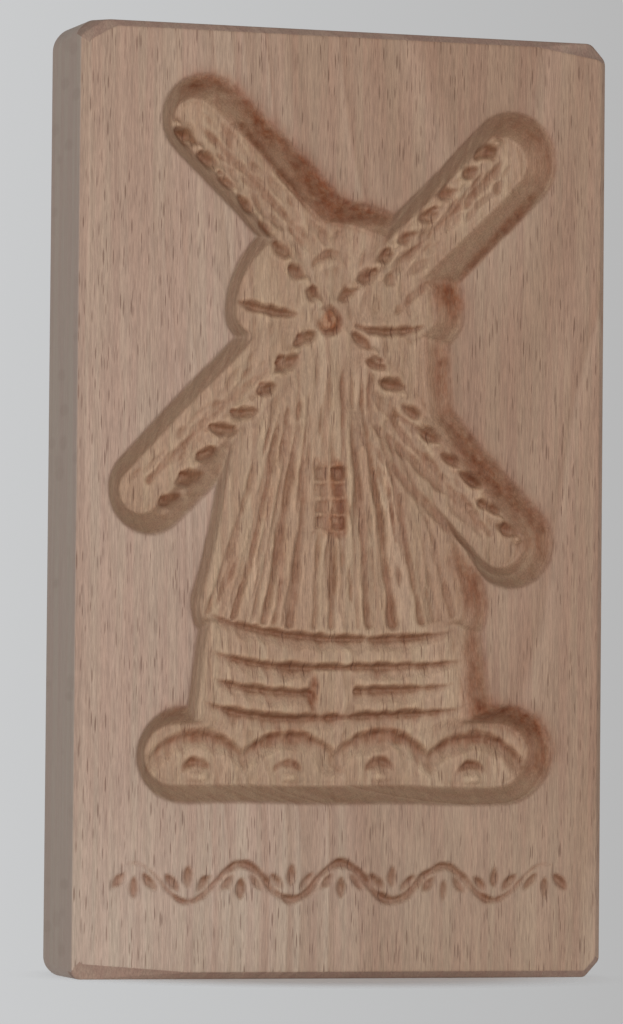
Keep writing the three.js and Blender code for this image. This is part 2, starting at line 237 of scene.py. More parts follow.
def drawn_in(outline: Array, inset: float) -> Array:
    """Moves every side of an outline inward.

    Args:
        outline: its corners, counterclockwise.
        inset: how far.

    Returns:
        The new corners.
    """
    sides = np.roll(outline, -1, 0) - outline
    inward = np.stack([-sides[:, 1], sides[:, 0]], 1) / np.linalg.norm(sides, axis=1, keepdims=True)
    before = np.roll(inward, 1, 0)
    mitre = (inward + before) / (1 + (inward * before).sum(1, keepdims=True))
    return outline + mitre * inset


def towards(angle: float) -> Array:
    """The direction at an angle in radians."""
    return np.array([math.cos(angle), math.sin(angle)])


def stroke(middle: Array, half: Array) -> Array:
    """A straight path through a point, from half its length before it to half its length past it."""
    return np.array([middle - half, middle, middle + half])


def arc_points(x: float, y: float, across: float, up: float, start: float, end: float, steps: int) -> Array:
    """Points along an elliptical arc.

    Args:
        x, y: its centre.
        across, up: its half axes.
        start, end: the angles that it runs between, in degrees.
        steps: how many steps it has.

    Returns:
        One more point than it has steps.
    """
    turn = np.radians(np.linspace(start, end, steps + 1))
    return np.stack([x + across * np.cos(turn), y + up * np.sin(turn)], 1)


def bent(start: Point, control: Point, end: Point, steps: int = 12) -> Array:
    """Points along a quadratic curve."""
    t = np.linspace(0, 1, steps + 1)[:, None]
    return np.array(start) * (1 - t) ** 2 + np.array(control) * 2 * t * (1 - t) + np.array(end) * t ** 2


def curved(ends: tuple[Point, Point, Point, Point], steps: int = 28) -> Array:
    """Points along a cubic curve.

    Args:
        ends: its start, its two controls and its end.
        steps: how many steps it has.

    Returns:
        One more point than it has steps.
    """
    t = np.linspace(0, 1, steps + 1)[:, None]
    weights = np.hstack([(1 - t) ** 3, 3 * t * (1 - t) ** 2, 3 * t ** 2 * (1 - t), t ** 3])
    return weights @ np.array(ends)


def round_ended(start: Point, start_radius: float, end: Point, end_radius: float, steps: int = 20) -> Array:
    """An outline round two circles of different size.

    Args:
        start, start_radius: the first circle.
        end, end_radius: the second circle.
        steps: how many steps the arc round each of them has.

    Returns:
        Its points, counterclockwise.
    """
    along = np.subtract(end, start)
    length = float(np.hypot(*along))
    heading = math.degrees(math.atan2(along[1], along[0]))
    side = math.degrees(math.acos((start_radius - end_radius) / length))
    far = arc_points(*end, end_radius, end_radius, heading - side, heading + side, steps)
    near = arc_points(*start, start_radius, start_radius, heading + side, heading - side + 360, steps)
    return np.vstack([far, near])


# Cutting


# How steeply the pressure comes on or goes off along a path, and the power by which a stab is let go.
QUICKLY, SLOWLY = 5, 3
STAB_RELEASE = 0.7


class Pressure(Enum):
    """How hard a tool is pressed along its path."""

    LEAF = "in and out again"
    STAB = "in at once, then slowly out"
    FADING_IN = "in, and off at the far end"
    DRAWN_OUT = "even, with short ends"
    EVEN = "even"

    def along(self, t: Array) -> Array:
        """The pressure along a path.

        Args:
            t: shares of the way along it.

        Returns:
            The pressure there, 0 to 1.
        """
        if self is Pressure.LEAF:
            return 4 * t * (1 - t)
        if self is Pressure.STAB:
            return np.minimum(1, QUICKLY * t) * (1 - t) ** STAB_RELEASE
        if self is Pressure.FADING_IN:
            return np.minimum(1, SLOWLY * t)
        if self is Pressure.DRAWN_OUT:
            return np.clip(np.minimum(QUICKLY * t, QUICKLY * (1 - t)), 0, 1)
        return np.ones_like(t)


class Blade(Enum):
    """The section that a tool leaves, as two powers: of its falling off from the middle, and of its edges."""

    VEINER = (1.1, 1.0)
    GOUGE = (2.0, 1.0)
    SPOON = (2.0, 2.0)

    def section(self, share: Array) -> Array:
        """Depth, 0 to 1, at a share of the way out from the middle."""
        falling, softness = self.value
        return np.clip(1 - share ** falling, 0, 1) ** softness


@dataclass(frozen=True)
class Tool:
    """A carving tool and how it is used.

    Attributes:
        width, depth: its groove at full pressure. A depth below zero leaves a bead standing.
        pressure, blade: how it goes in and out, and the section that it leaves.
        lean: from -1 to 1, how much of the width lies to the left of the path.
        tearing: how badly it tears the grain, 0 to 1.
    """

    width: float
    depth: float
    pressure: Pressure = Pressure.LEAF
    blade: Blade = Blade.GOUGE
    lean: float = 0.0
    tearing: float = 0.0

    def sized(self, size: float) -> "Tool":
        """The same tool with its width and depth times a size."""
        return replace(self, width=self.width * size, depth=self.depth * size)


@dataclass(frozen=True)
class Scooping:
    """Many shallow strokes over a stretch of floor.

    Attributes:
        spread, count: how far they reach to each side of its middle line, and how many there are.
        tool: what makes them.
        sway: how much their direction varies, in degrees.
        half_length, sizes: least and most of half a stroke's length, and of its size.
    """

    spread: float
    count: int
    tool: Tool
    sway: float = 8.0
    half_length: Point = (2.0, 5.5)
    sizes: Point = (0.6, 1.25)


@dataclass(frozen=True)
class Recess:
    """A hollow in the face.

    Attributes:
        depth: how deep its floor lies.
        run: how far its walls reach in.
        tearing: how badly the grain tears on walls that the tool comes up against, 0 to 1; it also
        sets how strongly shade is painted on those walls.
    """

    depth: float
    run: float
    tearing: float = 1.0


@dataclass(frozen=True)
class Handwork:
    """What the carver's hand, the tools and the grain do to evenly drawn recesses and cuts.

    A spread is the size of a noise's features or of a blur. A roughness is a height with its spreads.

    Attributes:
        stray, stray_spread: how far lines stray from the drawing.
        ragged_spread, patchy_spread: noise along cuts, and patches of tearing.
        unsteady, least_force, most_force: how the pressure on a cut varies, and its limits.
        tear_width: how much wider than its deepest part a cut tears the grain.
        sweep: share of a wall's height that falls in a quarter circle.
        level_from, level_over, level_spread: where past the walls floors are levelled, and how far.
        lip_loss, lip_spread: what a soft lip loses, and its blur.
        tool_from, facing_slope: how much walls facing the right and the top meet the tool, and from
            which slope fully.
        stubborn_gain, stubborn_spread: strength and blur of a recess's tearing.
        heel_depth, heel_width, heel_patches, heel_least: the groove at the foot of a wall, its even
            share, what patches add and the most of both, and its share where no tool comes up.
        lip_start, lip_depth: how soft a lip is at the face, and over which depth it turns crisp.
        halo_gain, halo_spread: strength and blur of torn lips, where shade is also painted.
        torn_and_shaded_start, torn_and_shaded_depth, torn_and_shaded_patches, torn_and_shaded_least:
            tearing and painted shade at the face, over which depth they fade, what patches add, and
            the least that is left.
        wall_slope, carved_depth, worked_depth: what counts as a full wall and as fully carved.
        marks, tears: roughnesses of floors and of torn grain.
        sunken_spread, sunken_depth, sunken_most, ridge_height: what counts as the bottom of a cut, where
            shade is painted, and as standing between cuts, where a highlight is painted.
        cut_shade, cut_shade_from: painted shade on the sides of cuts towards the top, and how much each
            direction counts.
        least_depth, least_cut: where the face counts as touched.
    """

    seed: int = 11
    stray: float = 0.28
    stray_spread: float = 9.0
    ragged_spread: Point = (0.8, 1.6)
    patchy_spread: float = 3.0
    unsteady: float = 0.14
    least_force: float = 0.05
    most_force: float = 1.3
    tear_width: float = 1.6
    sweep: float = 0.15
    level_from: float = 0.6
    level_over: float = 2.0
    level_spread: float = 1.6
    lip_loss: float = 0.8
    lip_spread: float = 1.1
    tool_from: Point = (0.7, 0.75)
    facing_slope: float = 0.85
    stubborn_gain: float = 1.6
    stubborn_spread: float = 1.5
    heel_depth: float = 0.45
    heel_width: float = 0.4
    heel_patches: tuple[float, float, float] = (0.55, 0.5, 1.2)
    heel_least: float = 0.2
    crisp_spread: float = 0.25
    lip_start: float = 1.25
    lip_depth: float = 3.2
    halo_gain: float = 1.35
    halo_spread: float = 1.4
    torn_and_shaded_start: float = 1.4
    torn_and_shaded_depth: float = 4.6
    torn_and_shaded_patches: float = 0.25
    torn_and_shaded_least: float = 0.15
    splinter_spread: float = 0.35
    cut_softness: float = 0.18
    bead_softness: float = 0.3
    wall_slope: float = 1.3
    carved_depth: float = 1.2
    worked_depth: float = 0.5
    marks: tuple[tuple[float, Point], ...] = ((0.06, (1.1, 2.4)), (0.06, (0.35, 1.6)))
    tears: tuple[tuple[float, Point], ...] = ((0.2, (0.6, 1.0)), (0.1, (0.3, 0.3)))
    chatter_height: float = 0.05
    chatter_spread: Point = (0.5, 1.0)
    sunken_spread: float = 0.9
    sunken_depth: float = 0.6
    sunken_most: float = 0.6
    cut_shade: float = 0.7
    cut_shade_from: Point = (0.35, 0.9)
    ridge_height: float = 0.35
    least_depth: float = 0.02
    least_cut: float = 0.01


@dataclass
class Surface:
    """The relief as it is meshed, with the masks that its finish reads.

    Attributes:
        depth: below the face.
        carved: 1 inside the recesses.
        wall: 1 on their steep walls.
        crossing: 1 where a wall cuts across the grain.
        torn: 1 on torn grain, on lips where the tool came up against the grain and in cuts;
        on those lips, walls that face down and to the left, it also marks painted shade.
        cut: 1 at the bottom and on the upper side of small cuts, where shade is painted.
        ridge: 1 on what stands between them, where a highlight is painted.
    """

    depth: Array
    carved: Array
    wall: Array
    crossing: Array
    torn: Array
    cut: Array
    ridge: Array


class Relief:
    """The carving on an even grid: how deep it is, and how each spot was cut.

    Attributes:
        hand: how the carving is worked.
        hollow, inward: depth of the recesses, and how far each spot lies inside them.
        runs, stubborn: how far the walls reach in there, and how badly the wood tears.
        nicks, beads: extra depth of the tool cuts, and height of what they leave standing.
        splintered: how badly the cuts tore the grain.
        RUN_OUTSIDE: how far walls reach in where there is no recess.
        OUTLINE_MARGIN: how far past its outline a recess is laid out.
        SHORTEST, TINY: the least square of a length and the least slope to divide by.
    """

    RUN_OUTSIDE = 4.3
    OUTLINE_MARGIN = 1.0
    SHORTEST = 1e-9
    TINY = 1e-6

    def __init__(self, width: float, height: float, step: float = 0.4, block: int = 8) -> None:
        """Lays out the grid.

        Args:
            width, height: what its whole blocks have to fit inside.
            step: grid spacing.
            block: grid cells along the side of a block.
        """
        self.step, self.block, self.hand = step, block, Handwork()
        self.columns, self.rows = (int(size // (step * block)) * block for size in (width, height))
        self.x = (np.arange(self.columns + 1) - self.columns / 2) * step
        self.y = (np.arange(self.rows + 1) - self.rows / 2) * step
        shape = (self.rows + 1, self.columns + 1)
        self.hollow, self.inward, self.stubborn = (np.zeros(shape) for _ in range(3))
        self.nicks, self.beads, self.splintered = (np.zeros(shape) for _ in range(3))
        self.runs = np.full(shape, self.RUN_OUTSIDE)
        hand = self.hand
        self.random = np.random.default_rng(hand.seed)
        self.stray_x, self.stray_y = (hand.stray * self.noise(hand.stray_spread) for _ in range(2))
        self.ragged = self.noise(*hand.ragged_spread)
        self.patchy = self.noise(hand.patchy_spread)

    def filtered(self, values: Array, spread: float, spread_y: Optional[float] = None) -> Array:
        """Blurs values by a Gaussian.

        Args:
            values: over the whole grid.
            spread: of the blur.
            spread_y: of the blur along y, where it differs.

        Returns:
            The blurred values.
        """
        spread_y = spread if spread_y is None else spread_y
        along_y = np.fft.fftfreq(values.shape[0], self.step)[:, None]
        along_x = np.fft.rfftfreq(values.shape[1], self.step)[None, :]
        keep = np.exp(-2 * math.pi ** 2 * ((along_x * spread) ** 2 + (along_y * spread_y) ** 2))
        return np.fft.irfft2(np.fft.rfft2(values) * keep, values.shape)

    def noise(self, spread: float, spread_y: Optional[float] = None) -> Array:
        """Smooth noise over the grid, of even strength about 0."""
        smooth = self.filtered(self.random.standard_normal(self.hollow.shape), spread, spread_y)
        return smooth / smooth.std()

    def rough(self, layers: tuple[tuple[float, Point], ...]) -> Array:
        """Layers of noise on each other, each with its height and its spreads."""
        return sum(height * self.noise(*spreads) for height, spreads in layers)

    def window(self, points: Array, reach: float) -> tuple[slice, slice]:
        """The part of the grid that lies round some points.

        Args:
            points: what it has to hold.
            reach: how far it reaches past them.

        Returns:
            Its rows and its columns.
        """
        low, high = points.min(0) - reach, points.max(0) + reach
        columns = slice(*np.searchsorted(self.x, (low[0], high[0])))
        rows = slice(*np.searchsorted(self.y, (low[1], high[1])))
        return rows, columns

    def places(self, window: tuple[slice, slice]) -> tuple[Array, Array]:
        """Where the carver's hand put each grid point of a window, as its x and its y."""
        across, up = np.meshgrid(self.x[window[1]], self.y[window[0]])
        return across + self.stray_x[window], up + self.stray_y[window]

    @staticmethod
    def raise_to(layer: Array, window: tuple[slice, slice], values: Array) -> None:
        """Raises a window of a layer to at least these values."""
        layer[window] = np.maximum(layer[window], values)

    def sink(self, outline: Array, recess: Recess) -> None:
        """Sinks a recess whose walls slope down from an outline.

        Args:
            outline: the edge on the face, as closed points.
            recess: its depth and its walls.
        """
        window = self.window(outline, self.OUTLINE_MARGIN)
        px, py = self.places(window)
        nearest = np.full(px.shape, np.inf)
        inside = np.zeros(px.shape, bool)
        for (x0, y0), (x1, y1) in zip(outline, np.roll(outline, -1, 0)):
            dx, dy = x1 - x0, y1 - y0
            t = np.clip(((px - x0) * dx + (py - y0) * dy) / max(dx * dx + dy * dy, self.SHORTEST), 0, 1)
            nearest = np.minimum(nearest, np.hypot(px - x0 - t * dx, py - y0 - t * dy))
            if y0 != y1:
                inside ^= ((y0 > py) != (y1 > py)) & (px < x0 + dx * (py - y0) / dy)
        from_edge = np.where(inside, nearest, 0)
        share = np.clip(from_edge / recess.run, 0, 1)
        sweep = self.hand.sweep
        wall = (1 - sweep) * share + sweep * np.sqrt(1 - (1 - share) ** 2)
        self.raise_to(self.hollow, window, recess.depth * wall)
        deeper_in = from_edge > self.inward[window]
        layers = (self.inward, self.stubborn, self.runs)
        for layer, value in zip(layers, (from_edge, recess.tearing, recess.run)):
            layer[window] = np.where(deeper_in, value, layer[window])

    def cut(self, path: Array, tool: Tool) -> None:
        """Cuts a groove along a path into whatever surface is there.

        Args:
            path: points along the middle of the groove.
            tool: what cuts it.
        """
        hand = self.hand
        window = self.window(path, tool.width)
        px, py = self.places(window)
        nearest = np.full(px.shape, np.inf)
        side = np.ones(px.shape)
        share = np.zeros(px.shape)
        count = len(path) - 1
        for i, ((x0, y0), (x1, y1)) in enumerate(zip(path, path[1:])):
            dx, dy = x1 - x0, y1 - y0
            t = np.clip(((px - x0) * dx + (py - y0) * dy) / (dx * dx + dy * dy), 0, 1)
            off_x, off_y = px - x0 - t * dx, py - y0 - t * dy
            away = np.hypot(off_x, off_y)
            closer = away < nearest
            nearest = np.where(closer, away, nearest)
            side = np.where(closer, np.sign(dx * off_y - dy * off_x), side)
            share = np.where(closer, (i + t) / count, share)
        force = tool.pressure.along(share) * (1 + hand.unsteady * self.ragged[window])
        half = np.maximum(force, hand.least_force) * tool.width / 2 * (1 + tool.lean * side)
        section = tool.blade.section(nearest / half)
        groove = abs(tool.depth) * np.clip(force, 0, hand.most_force) * section
        self.raise_to(self.nicks if tool.depth > 0 else self.beads, window, groove)
        torn = tool.tearing * np.clip(hand.tear_width * section * force, 0, 1)
        self.raise_to(self.splintered, window, torn)

    def scoop(self, start: Point, end: Point, turn: float, scooping: Scooping) -> None:
        """Works over a stretch of floor with many shallow strokes.

        Args:
            start, end: the middle line of the stretch.
            turn: direction of the strokes, in degrees.
            scooping: what they are like.
        """
        along = np.subtract(end, start)
        across = np.array([-along[1], along[0]]) / np.hypot(*along)
        spread, random = scooping.spread, self.random
        for _ in range(scooping.count):
            shift = along * random.uniform(0, 1) + across * random.uniform(-spread, spread)
            angle = math.radians(turn + random.normal(0, scooping.sway))
            half = towards(angle) * random.uniform(*scooping.half_length)
            tool = scooping.tool.sized(random.uniform(*scooping.sizes))
            self.cut(stroke(np.array(start) + shift, half), tool)

    def clear(self, left: float, right: float, bottom: float, top: float) -> None:
        """Takes the tool cuts off a patch of floor again.

        Args:
            left, right, bottom, top: its sides.
        """
        window = self.window(np.array([(left, bottom), (right, top)]), 0.0)
        for layer in (self.nicks, self.beads, self.splintered):
            layer[window] = 0

    def pocket(
        self, left: float, right: float, bottom: float, top: float, depth: float, slope: float = 0.7
    ) -> None:
        """Cuts a small box whose sides slope in.

        Args:
            left, right, bottom, top: its sides, halfway down their slope.
            depth: how deep it is.
            slope: how far its sides slope in.
        """
        window = self.window(np.array([(left, bottom), (right, top)]), slope)
        px, py = self.places(window)
        from_edge = np.minimum(
            (right - left) / 2 - abs(px - (left + right) / 2),
            (top - bottom) / 2 - abs(py - (bottom + top) / 2),
        )
        self.raise_to(self.nicks, window, depth * np.clip(from_edge / slope + 0.5, 0, 1))

    def softened(self) -> tuple[Array, Array, Array]:
        """Levels the floors, leaves a groove at the foot of the walls and softens lips.

        Returns:
            The recesses' depth, their depth with every lip soft, and how far each spot meets the tool.
        """
        hand = self.hand
        past_wall = self.inward - self.runs
        inner = np.clip((past_wall - hand.level_from) / hand.level_over, 0, 1)
        even = self.hollow * (1 - inner) + self.filtered(self.hollow, hand.level_spread) * inner
        softer = self.filtered(np.maximum(even - hand.lip_loss, 0), hand.lip_spread)
        fall_y, fall_x = np.gradient(softer, self.step)
        from_right, from_top = hand.tool_from
        against = np.clip((-from_right * fall_x - from_top * fall_y) / hand.facing_slope, 0, 1)
        stubborn = self.filtered(self.stubborn, hand.stubborn_spread)
        against = against * np.clip(hand.stubborn_gain * stubborn, 0, 1)
        steady, patchy, most = hand.heel_patches
        coming_and_going = np.clip(steady + patchy * self.patchy, 0, most)
        coming_and_going = coming_and_going * (hand.heel_least + (1 - hand.heel_least) * against)
        heel = hand.heel_depth * np.exp(-(past_wall / hand.heel_width) ** 2) * coming_and_going
        crisp = self.filtered(even + heel, hand.crisp_spread)
        lip = against * np.clip(hand.lip_start - softer / hand.lip_depth, 0, 1)
        return crisp * (1 - lip) + softer * lip, softer, against

    def torn_and_shaded_grain(self, softer: Array, against: Array) -> Array:
        """Where the grain is torn, along lips and in cuts.

        Args:
            softer: the recesses' depth with every lip soft.
            against: how far each spot meets the tool.

        Returns:
            The mask, 0 to 1. On the lips that face down and to the left it also marks painted shade.
        """
        hand = self.hand
        halo = np.clip(hand.halo_gain * self.filtered(against, hand.halo_spread), 0, 1)
        fading = hand.torn_and_shaded_start - softer / hand.torn_and_shaded_depth + hand.torn_and_shaded_patches * self.patchy
        torn = halo * np.clip(fading, hand.torn_and_shaded_least, 1)
        return np.clip(torn + self.filtered(self.splintered, hand.splinter_spread), 0, 1)

    def worn(self) -> Surface:
        """Finishes the surface, with softened lips, tool marks and torn grain.

        Returns:
            The surface and its masks, among them painted shade and painted highlights. Its rim is flat.
        """
        hand = self.hand
        soft, softer, against = self.softened()
        slope_y, slope_x = np.gradient(soft, self.step)
        steep = np.hypot(slope_x, slope_y)
        wall = np.clip(steep / hand.wall_slope, 0, 1)
        crossing = wall * abs(slope_y) / np.maximum(steep, self.TINY)
        # torn grain, and painted shade on the lips that face down and to the left
        torn = self.torn_and_shaded_grain(softer, against)
        cuts = self.filtered(self.nicks, hand.cut_softness)
        carved = np.clip(soft / hand.carved_depth, 0, 1) ** 2
        marks = carved * self.rough(hand.marks)
        tear = torn * self.rough(hand.tears) * np.clip(soft + cuts, 0, 1)
        chatter = wall * hand.chatter_height * self.noise(*hand.chatter_spread)
        small = cuts + marks + tear + chatter - self.filtered(self.beads, hand.bead_softness)
        depth = soft + small
        worked = np.clip(depth / hand.worked_depth, 0, 1)
        sunken = small - self.filtered(small, hand.sunken_spread)
        cut_y, cut_x = np.gradient(cuts + tear, self.step)
        # painted shade: the sides of cuts towards the top, and the bottoms of cuts
        from_right, from_top = hand.cut_shade_from
        cut_shade = hand.cut_shade * np.clip(-from_right * cut_x - from_top * cut_y, 0, 1)
        bottom = np.clip(sunken / hand.sunken_depth, 0, hand.sunken_most)
        cut = np.clip(cut_shade + bottom, 0, 1) * worked
        # painted highlight on what stands between the cuts
        ridge = np.clip(-sunken / hand.ridge_height, 0, 1) * worked * (1 - wall)
        touched = (soft > hand.least_depth) | (cuts > hand.least_cut)
        depth = np.where(touched, np.maximum(depth, 0), 0)
        depth[[0, -1], :] = 0
        depth[:, [0, -1]] = 0
        return Surface(depth, carved, wall, crossing, torn, cut, ridge)


# The figure


@dataclass(frozen=True)
class Hub:
    """The boss that the sails turn on.

    Attributes:
        ring, cleared: radius of the ring round it, and how far other cuts are taken off first.
        even_groove: the ring all round.
        hard_groove, hard_from, hard_to: the ring to the right, and its angles in degrees.
        boss, boss_half: what stands in the middle, and half the length of its path.
    """

    x: float = -2.0
    y: float = 42.8
    ring: float = 3.0
    cleared: float = 2.0
    even_groove: Tool = Tool(1.8, 0.63, Pressure.EVEN)
    hard_groove: Tool = Tool(1.8, 0.9, tearing=0.5)
    hard_from: float = -140.0
    hard_to: float = 100.0
    boss: Tool = Tool(6.0, -0.5, Pressure.EVEN, tearing=1.0)
    boss_half: float = 0.5

    def carve(self, relief: Relief) -> None:
        """Cuts the ring round the boss, harder to its right, and leaves the boss proud.

        Args:
            relief: what it is cut into.
        """
        x, y, ring, clear = self.x, self.y, self.ring, self.cleared
        relief.clear(x - clear, x + clear, y - clear, y + clear)
        relief.cut(arc_points(x, y, ring, ring, 0, 360, steps=24), self.even_groove)
        relief.cut(arc_points(x, y, ring, ring, self.hard_from, self.hard_to, steps=20), self.hard_groove)
        relief.cut(np.array([(x - self.boss_half, y), (x + self.boss_half, y)]), self.boss)

    def at(self, x: float, y: float) -> Point:
        """A point given from the hub."""
        return self.x + x, self.y + y

    def path(self, points: tuple[Point, ...]) -> Array:
        """A path whose points are given from the hub."""
        return np.array([self.at(*point) for point in points])


@dataclass(frozen=True)
class Sail:
    """One sail: a round-ended trough, leaf cuts along its whip, and a line down its cloth.

    Places are given from the hub, but for the tip. Pairs of sizes are the least and the most.

    Attributes:
        tip, tip_radius, root, root_radius: the trough's round ends.
        lean: how far each leaf cut is turned from the sail towards the level, in degrees.
        seams, frays, scores: ends of lines on the floor, of torn stretches of the lip, and of lines at
            the foot of the wall, which lies to their left.
        slip, sway, sizes: how far leaf cuts slip from their row, turn in radians, and vary in size.
        nicks, nick_at, nick_slip: how many nicks a leaf has, where, and how far they slip.
        nick_reach, nick_width, nick_depth: their size against the leaf's.
        rest_at, rest_slip, rest_reach: the bead beside each leaf.
        chip_along, chip_at, chip_reach: the bead before the next leaf.
        whip_past: shares of the row by which the whip passes its first and its last leaf.
        scooping, scooped_from: strokes over the floor, and the share of its length where they start.
        cloth_line, cloth_end: the line down the cloth, and the share of its length where it ends.
        strokes, stroke_along, stroke_slip, stroke_sway, stroke_length: loose strokes on the cloth.
    """

    name: str
    tip: Point
    tip_radius: float
    root: Point
    first_leaf: Point
    last_leaf: Point
    leaves: int
    lean: float
    seams: tuple[tuple[Point, Point], ...] = ()
    frays: tuple[tuple[Point, Point], ...] = ()
    scores: tuple[tuple[Point, Point], ...] = ()
    root_radius: float = 11.3
    recess: Recess = Recess(7.4, 5.2)
    leaf_length: float = 6.4
    leaf_width: float = 5.0
    leaf_depth: float = 1.7
    slip: float = 0.35
    sway: float = 0.16
    sizes: Point = (0.85, 1.15)
    nicks: int = 2
    nick_at: Point = (-0.4, 0.7)
    nick_slip: float = 0.6
    nick_reach: Point = (0.35, 0.65)
    nick_width: Point = (0.25, 0.4)
    nick_depth: Point = (0.9, 1.2)
    rest_at: Point = (0.7, -0.8)
    rest_slip: float = 0.3
    rest_reach: float = 0.45
    chip_along: Point = (0.4, 0.6)
    chip_at: Point = (0.4, 0.4)
    chip_reach: float = 0.5
    whip: Tool = Tool(6.0, -0.9, Pressure.DRAWN_OUT)
    leaf: Tool = Tool(1.0, 1.0, Pressure.LEAF, Blade.SPOON, tearing=0.2)
    nick: Tool = Tool(1.0, 1.0, Pressure.STAB, tearing=0.7)
    rest: Tool = Tool(1.7, -0.8, Pressure.LEAF, Blade.SPOON)
    chip: Tool = Tool(2.8, -1.5, Pressure.LEAF, Blade.SPOON)
    whip_past: Point = (0.02, 0.03)
    scooping: Scooping = Scooping(3.6, 30, Tool(2.6, 0.55))
    scooped_from: float = 0.1
    cloth_line: Tool = Tool(2.2, 0.7, Pressure.FADING_IN, Blade.VEINER, tearing=0.3)
    cloth_end: float = 0.93
    strokes: int = 15
    stroke: Tool = Tool(1.6, 0.7, Pressure.LEAF, Blade.VEINER, tearing=0.4)
    stroke_along: Point = (0.1, 0.85)
    stroke_slip: float = 1.1
    stroke_sway: float = 0.2
    stroke_length: Point = (3.5, 8.0)
    seam: Tool = Tool(2.8, 0.8, Pressure.DRAWN_OUT, tearing=0.2)
    fray: Tool = Tool(2.6, 0.2, Pressure.DRAWN_OUT, Blade.SPOON, tearing=0.7)
    score: Tool = Tool(1.6, 0.8, Pressure.DRAWN_OUT, Blade.VEINER, lean=0.3, tearing=0.3)

    def carve(self, relief: Relief, hub: Hub) -> None:
        """Cuts the sail.

        Args:
            relief: what it is cut into.
            hub: what its places are given from.
        """
        root = hub.at(*self.root)
        outline = round_ended(root, self.root_radius, self.tip, self.tip_radius)
        relief.sink(outline, self.recess)
        first, last = hub.path((self.first_leaf, self.last_leaf))
        along = last - first
        heading = math.atan2(along[1], along[0])
        before, past = self.whip_past
        relief.cut(np.array([first - along * before, last + along * past]), self.whip)
        line = np.array(self.tip) - root
        relief.scoop(root + line * self.scooped_from, self.tip, math.degrees(heading), self.scooping)
        turn = heading + math.radians(self.lean)
        for i in range(self.leaves):
            place = first + along * i / (self.leaves - 1)
            self.cut_leaf(relief, place, along / (self.leaves - 1), turn)
        relief.cut(np.array([root, root + line * self.cloth_end]), self.cloth_line)
        random = relief.random
        for _ in range(self.strokes):
            share, slip = random.uniform(*self.stroke_along), random.normal(0, self.stroke_slip, 2)
            start = root + line * share + slip
            angle = heading + random.normal(0.0, self.stroke_sway)
            end = start + towards(angle) * random.uniform(*self.stroke_length)
            relief.cut(np.array([start, (start + end) / 2, end]), self.stroke)
        for lines, tool in ((self.seams, self.seam), (self.frays, self.fray), (self.scores, self.score)):
            for ends in lines:
                relief.cut(hub.path(ends), tool)

    def cut_leaf(self, relief: Relief, place: Array, spacing: Array, turn: float) -> None:
        """Cuts one leaf, the nicks in it, and the beads beside it and before the next.

        Args:
            relief: what it is cut into.
            place: where it was drawn.
            spacing: from it to the next one.
            turn: the direction of the row's leaves, in radians.
        """
        random = relief.random
        slip = random.normal(0, self.slip, 2)
        angle = turn + random.normal(0, self.sway)
        size = random.uniform(*self.sizes)
        middle = place + slip
        half = towards(angle) * self.leaf_length * size / 2
        leaf = replace(self.leaf, width=self.leaf_width * size, depth=self.leaf_depth * size)
        relief.cut(stroke(middle, -half), leaf)
        for _ in range(self.nicks):
            nick = middle + self.nick_at + random.normal(0, self.nick_slip, 2)
            reach = half * random.uniform(*self.nick_reach)
            width = self.leaf_width * random.uniform(*self.nick_width)
            depth = leaf.depth * random.uniform(*self.nick_depth)
            relief.cut(stroke(nick, -reach), replace(self.nick, width=width, depth=depth))
        rest = middle + self.rest_at + random.normal(0, self.rest_slip, 2)
        relief.cut(stroke(rest, -half * self.rest_reach), self.rest)
        chip = middle + spacing * random.uniform(*self.chip_along) + self.chip_at
        relief.cut(stroke(chip, -half * self.chip_reach), replace(self.chip, depth=self.chip.depth * size))


@dataclass(frozen=True)
class Cap:
    """The cap: a dome that pulls in below, a sill line to each side of the hub, and a brow over it.

    Attributes:
        half_width, rise, fall: of the dome, and of its lower part.
        floor_half, floor_scooping: strokes over the floor, and half the length of their stretch.
        crown, crown_scooping: ends of the stretch above the hub, from it, and strokes there.
        sills: their ends and the control between, from the hub.
        brow_radius, brow_end: radius of the brow's arcs, and the angle where they end.
        brows: each arc's centre, from the hub, the angle where it starts, and its tool.
    """

    x: float = -0.7
    half_width: float = 29.4
    rise: float = 26.5
    fall: float = 14.0
    above_hub: float = 1.0
    recess: Recess = Recess(6.4, 4.7, 0.85)
    floor_half: float = 20.0
    floor_scooping: Scooping = Scooping(6.0, 46, Tool(2.2, 0.35))
    crown: tuple[Point, Point] = ((-3.0, 16.0), (10.0, 16.0))
    crown_scooping: Scooping = Scooping(4.0, 12, Tool(2.2, 0.35))
    sills: tuple[tuple[Point, Point, Point], ...] = (
        ((-7.0, 0.8), (-15.0, 0.9), (-23.6, 3.6)),
        ((5.4, -0.6), (15.0, -4.2), (24.2, -0.9)),
    )
    sill: Tool = Tool(2.8, 1.6, Pressure.DRAWN_OUT, Blade.VEINER, tearing=0.3)
    brow_radius: float = 6.6
    brow_end: float = 62.0
    brows: tuple[tuple[Point, float, Tool], ...] = (
        ((1.6, 9.0), 158.0, Tool(2.2, 0.7, tearing=0.3)),
        ((1.6, 6.6), 150.0, Tool(2.6, -0.5)),
    )

    def carve(self, relief: Relief, hub: Hub) -> None:
        """Cuts the cap.

        Args:
            relief: what it is cut into.
            hub: what its places are given from.
        """
        y = hub.y + self.above_hub
        dome = arc_points(self.x, y, self.half_width, self.rise, 0, 180, steps=40)
        chin = arc_points(self.x, y, self.half_width, self.fall, 180, 360, steps=40)
        relief.sink(np.vstack([dome, chin]), self.recess)
        left, right = (self.x - self.floor_half, y), (self.x + self.floor_half, y)
        relief.scoop(left, right, ALONG_GRAIN, self.floor_scooping)
        relief.scoop(*(hub.at(*end) for end in self.crown), ALONG_GRAIN, self.crown_scooping)
        for points in self.sills:
            relief.cut(bent(*hub.path(points)), self.sill)
        radius = self.brow_radius
        for centre, start, tool in self.brows:
            relief.cut(arc_points(*hub.at(*centre), radius, radius, start, self.brow_end, steps=12), tool)


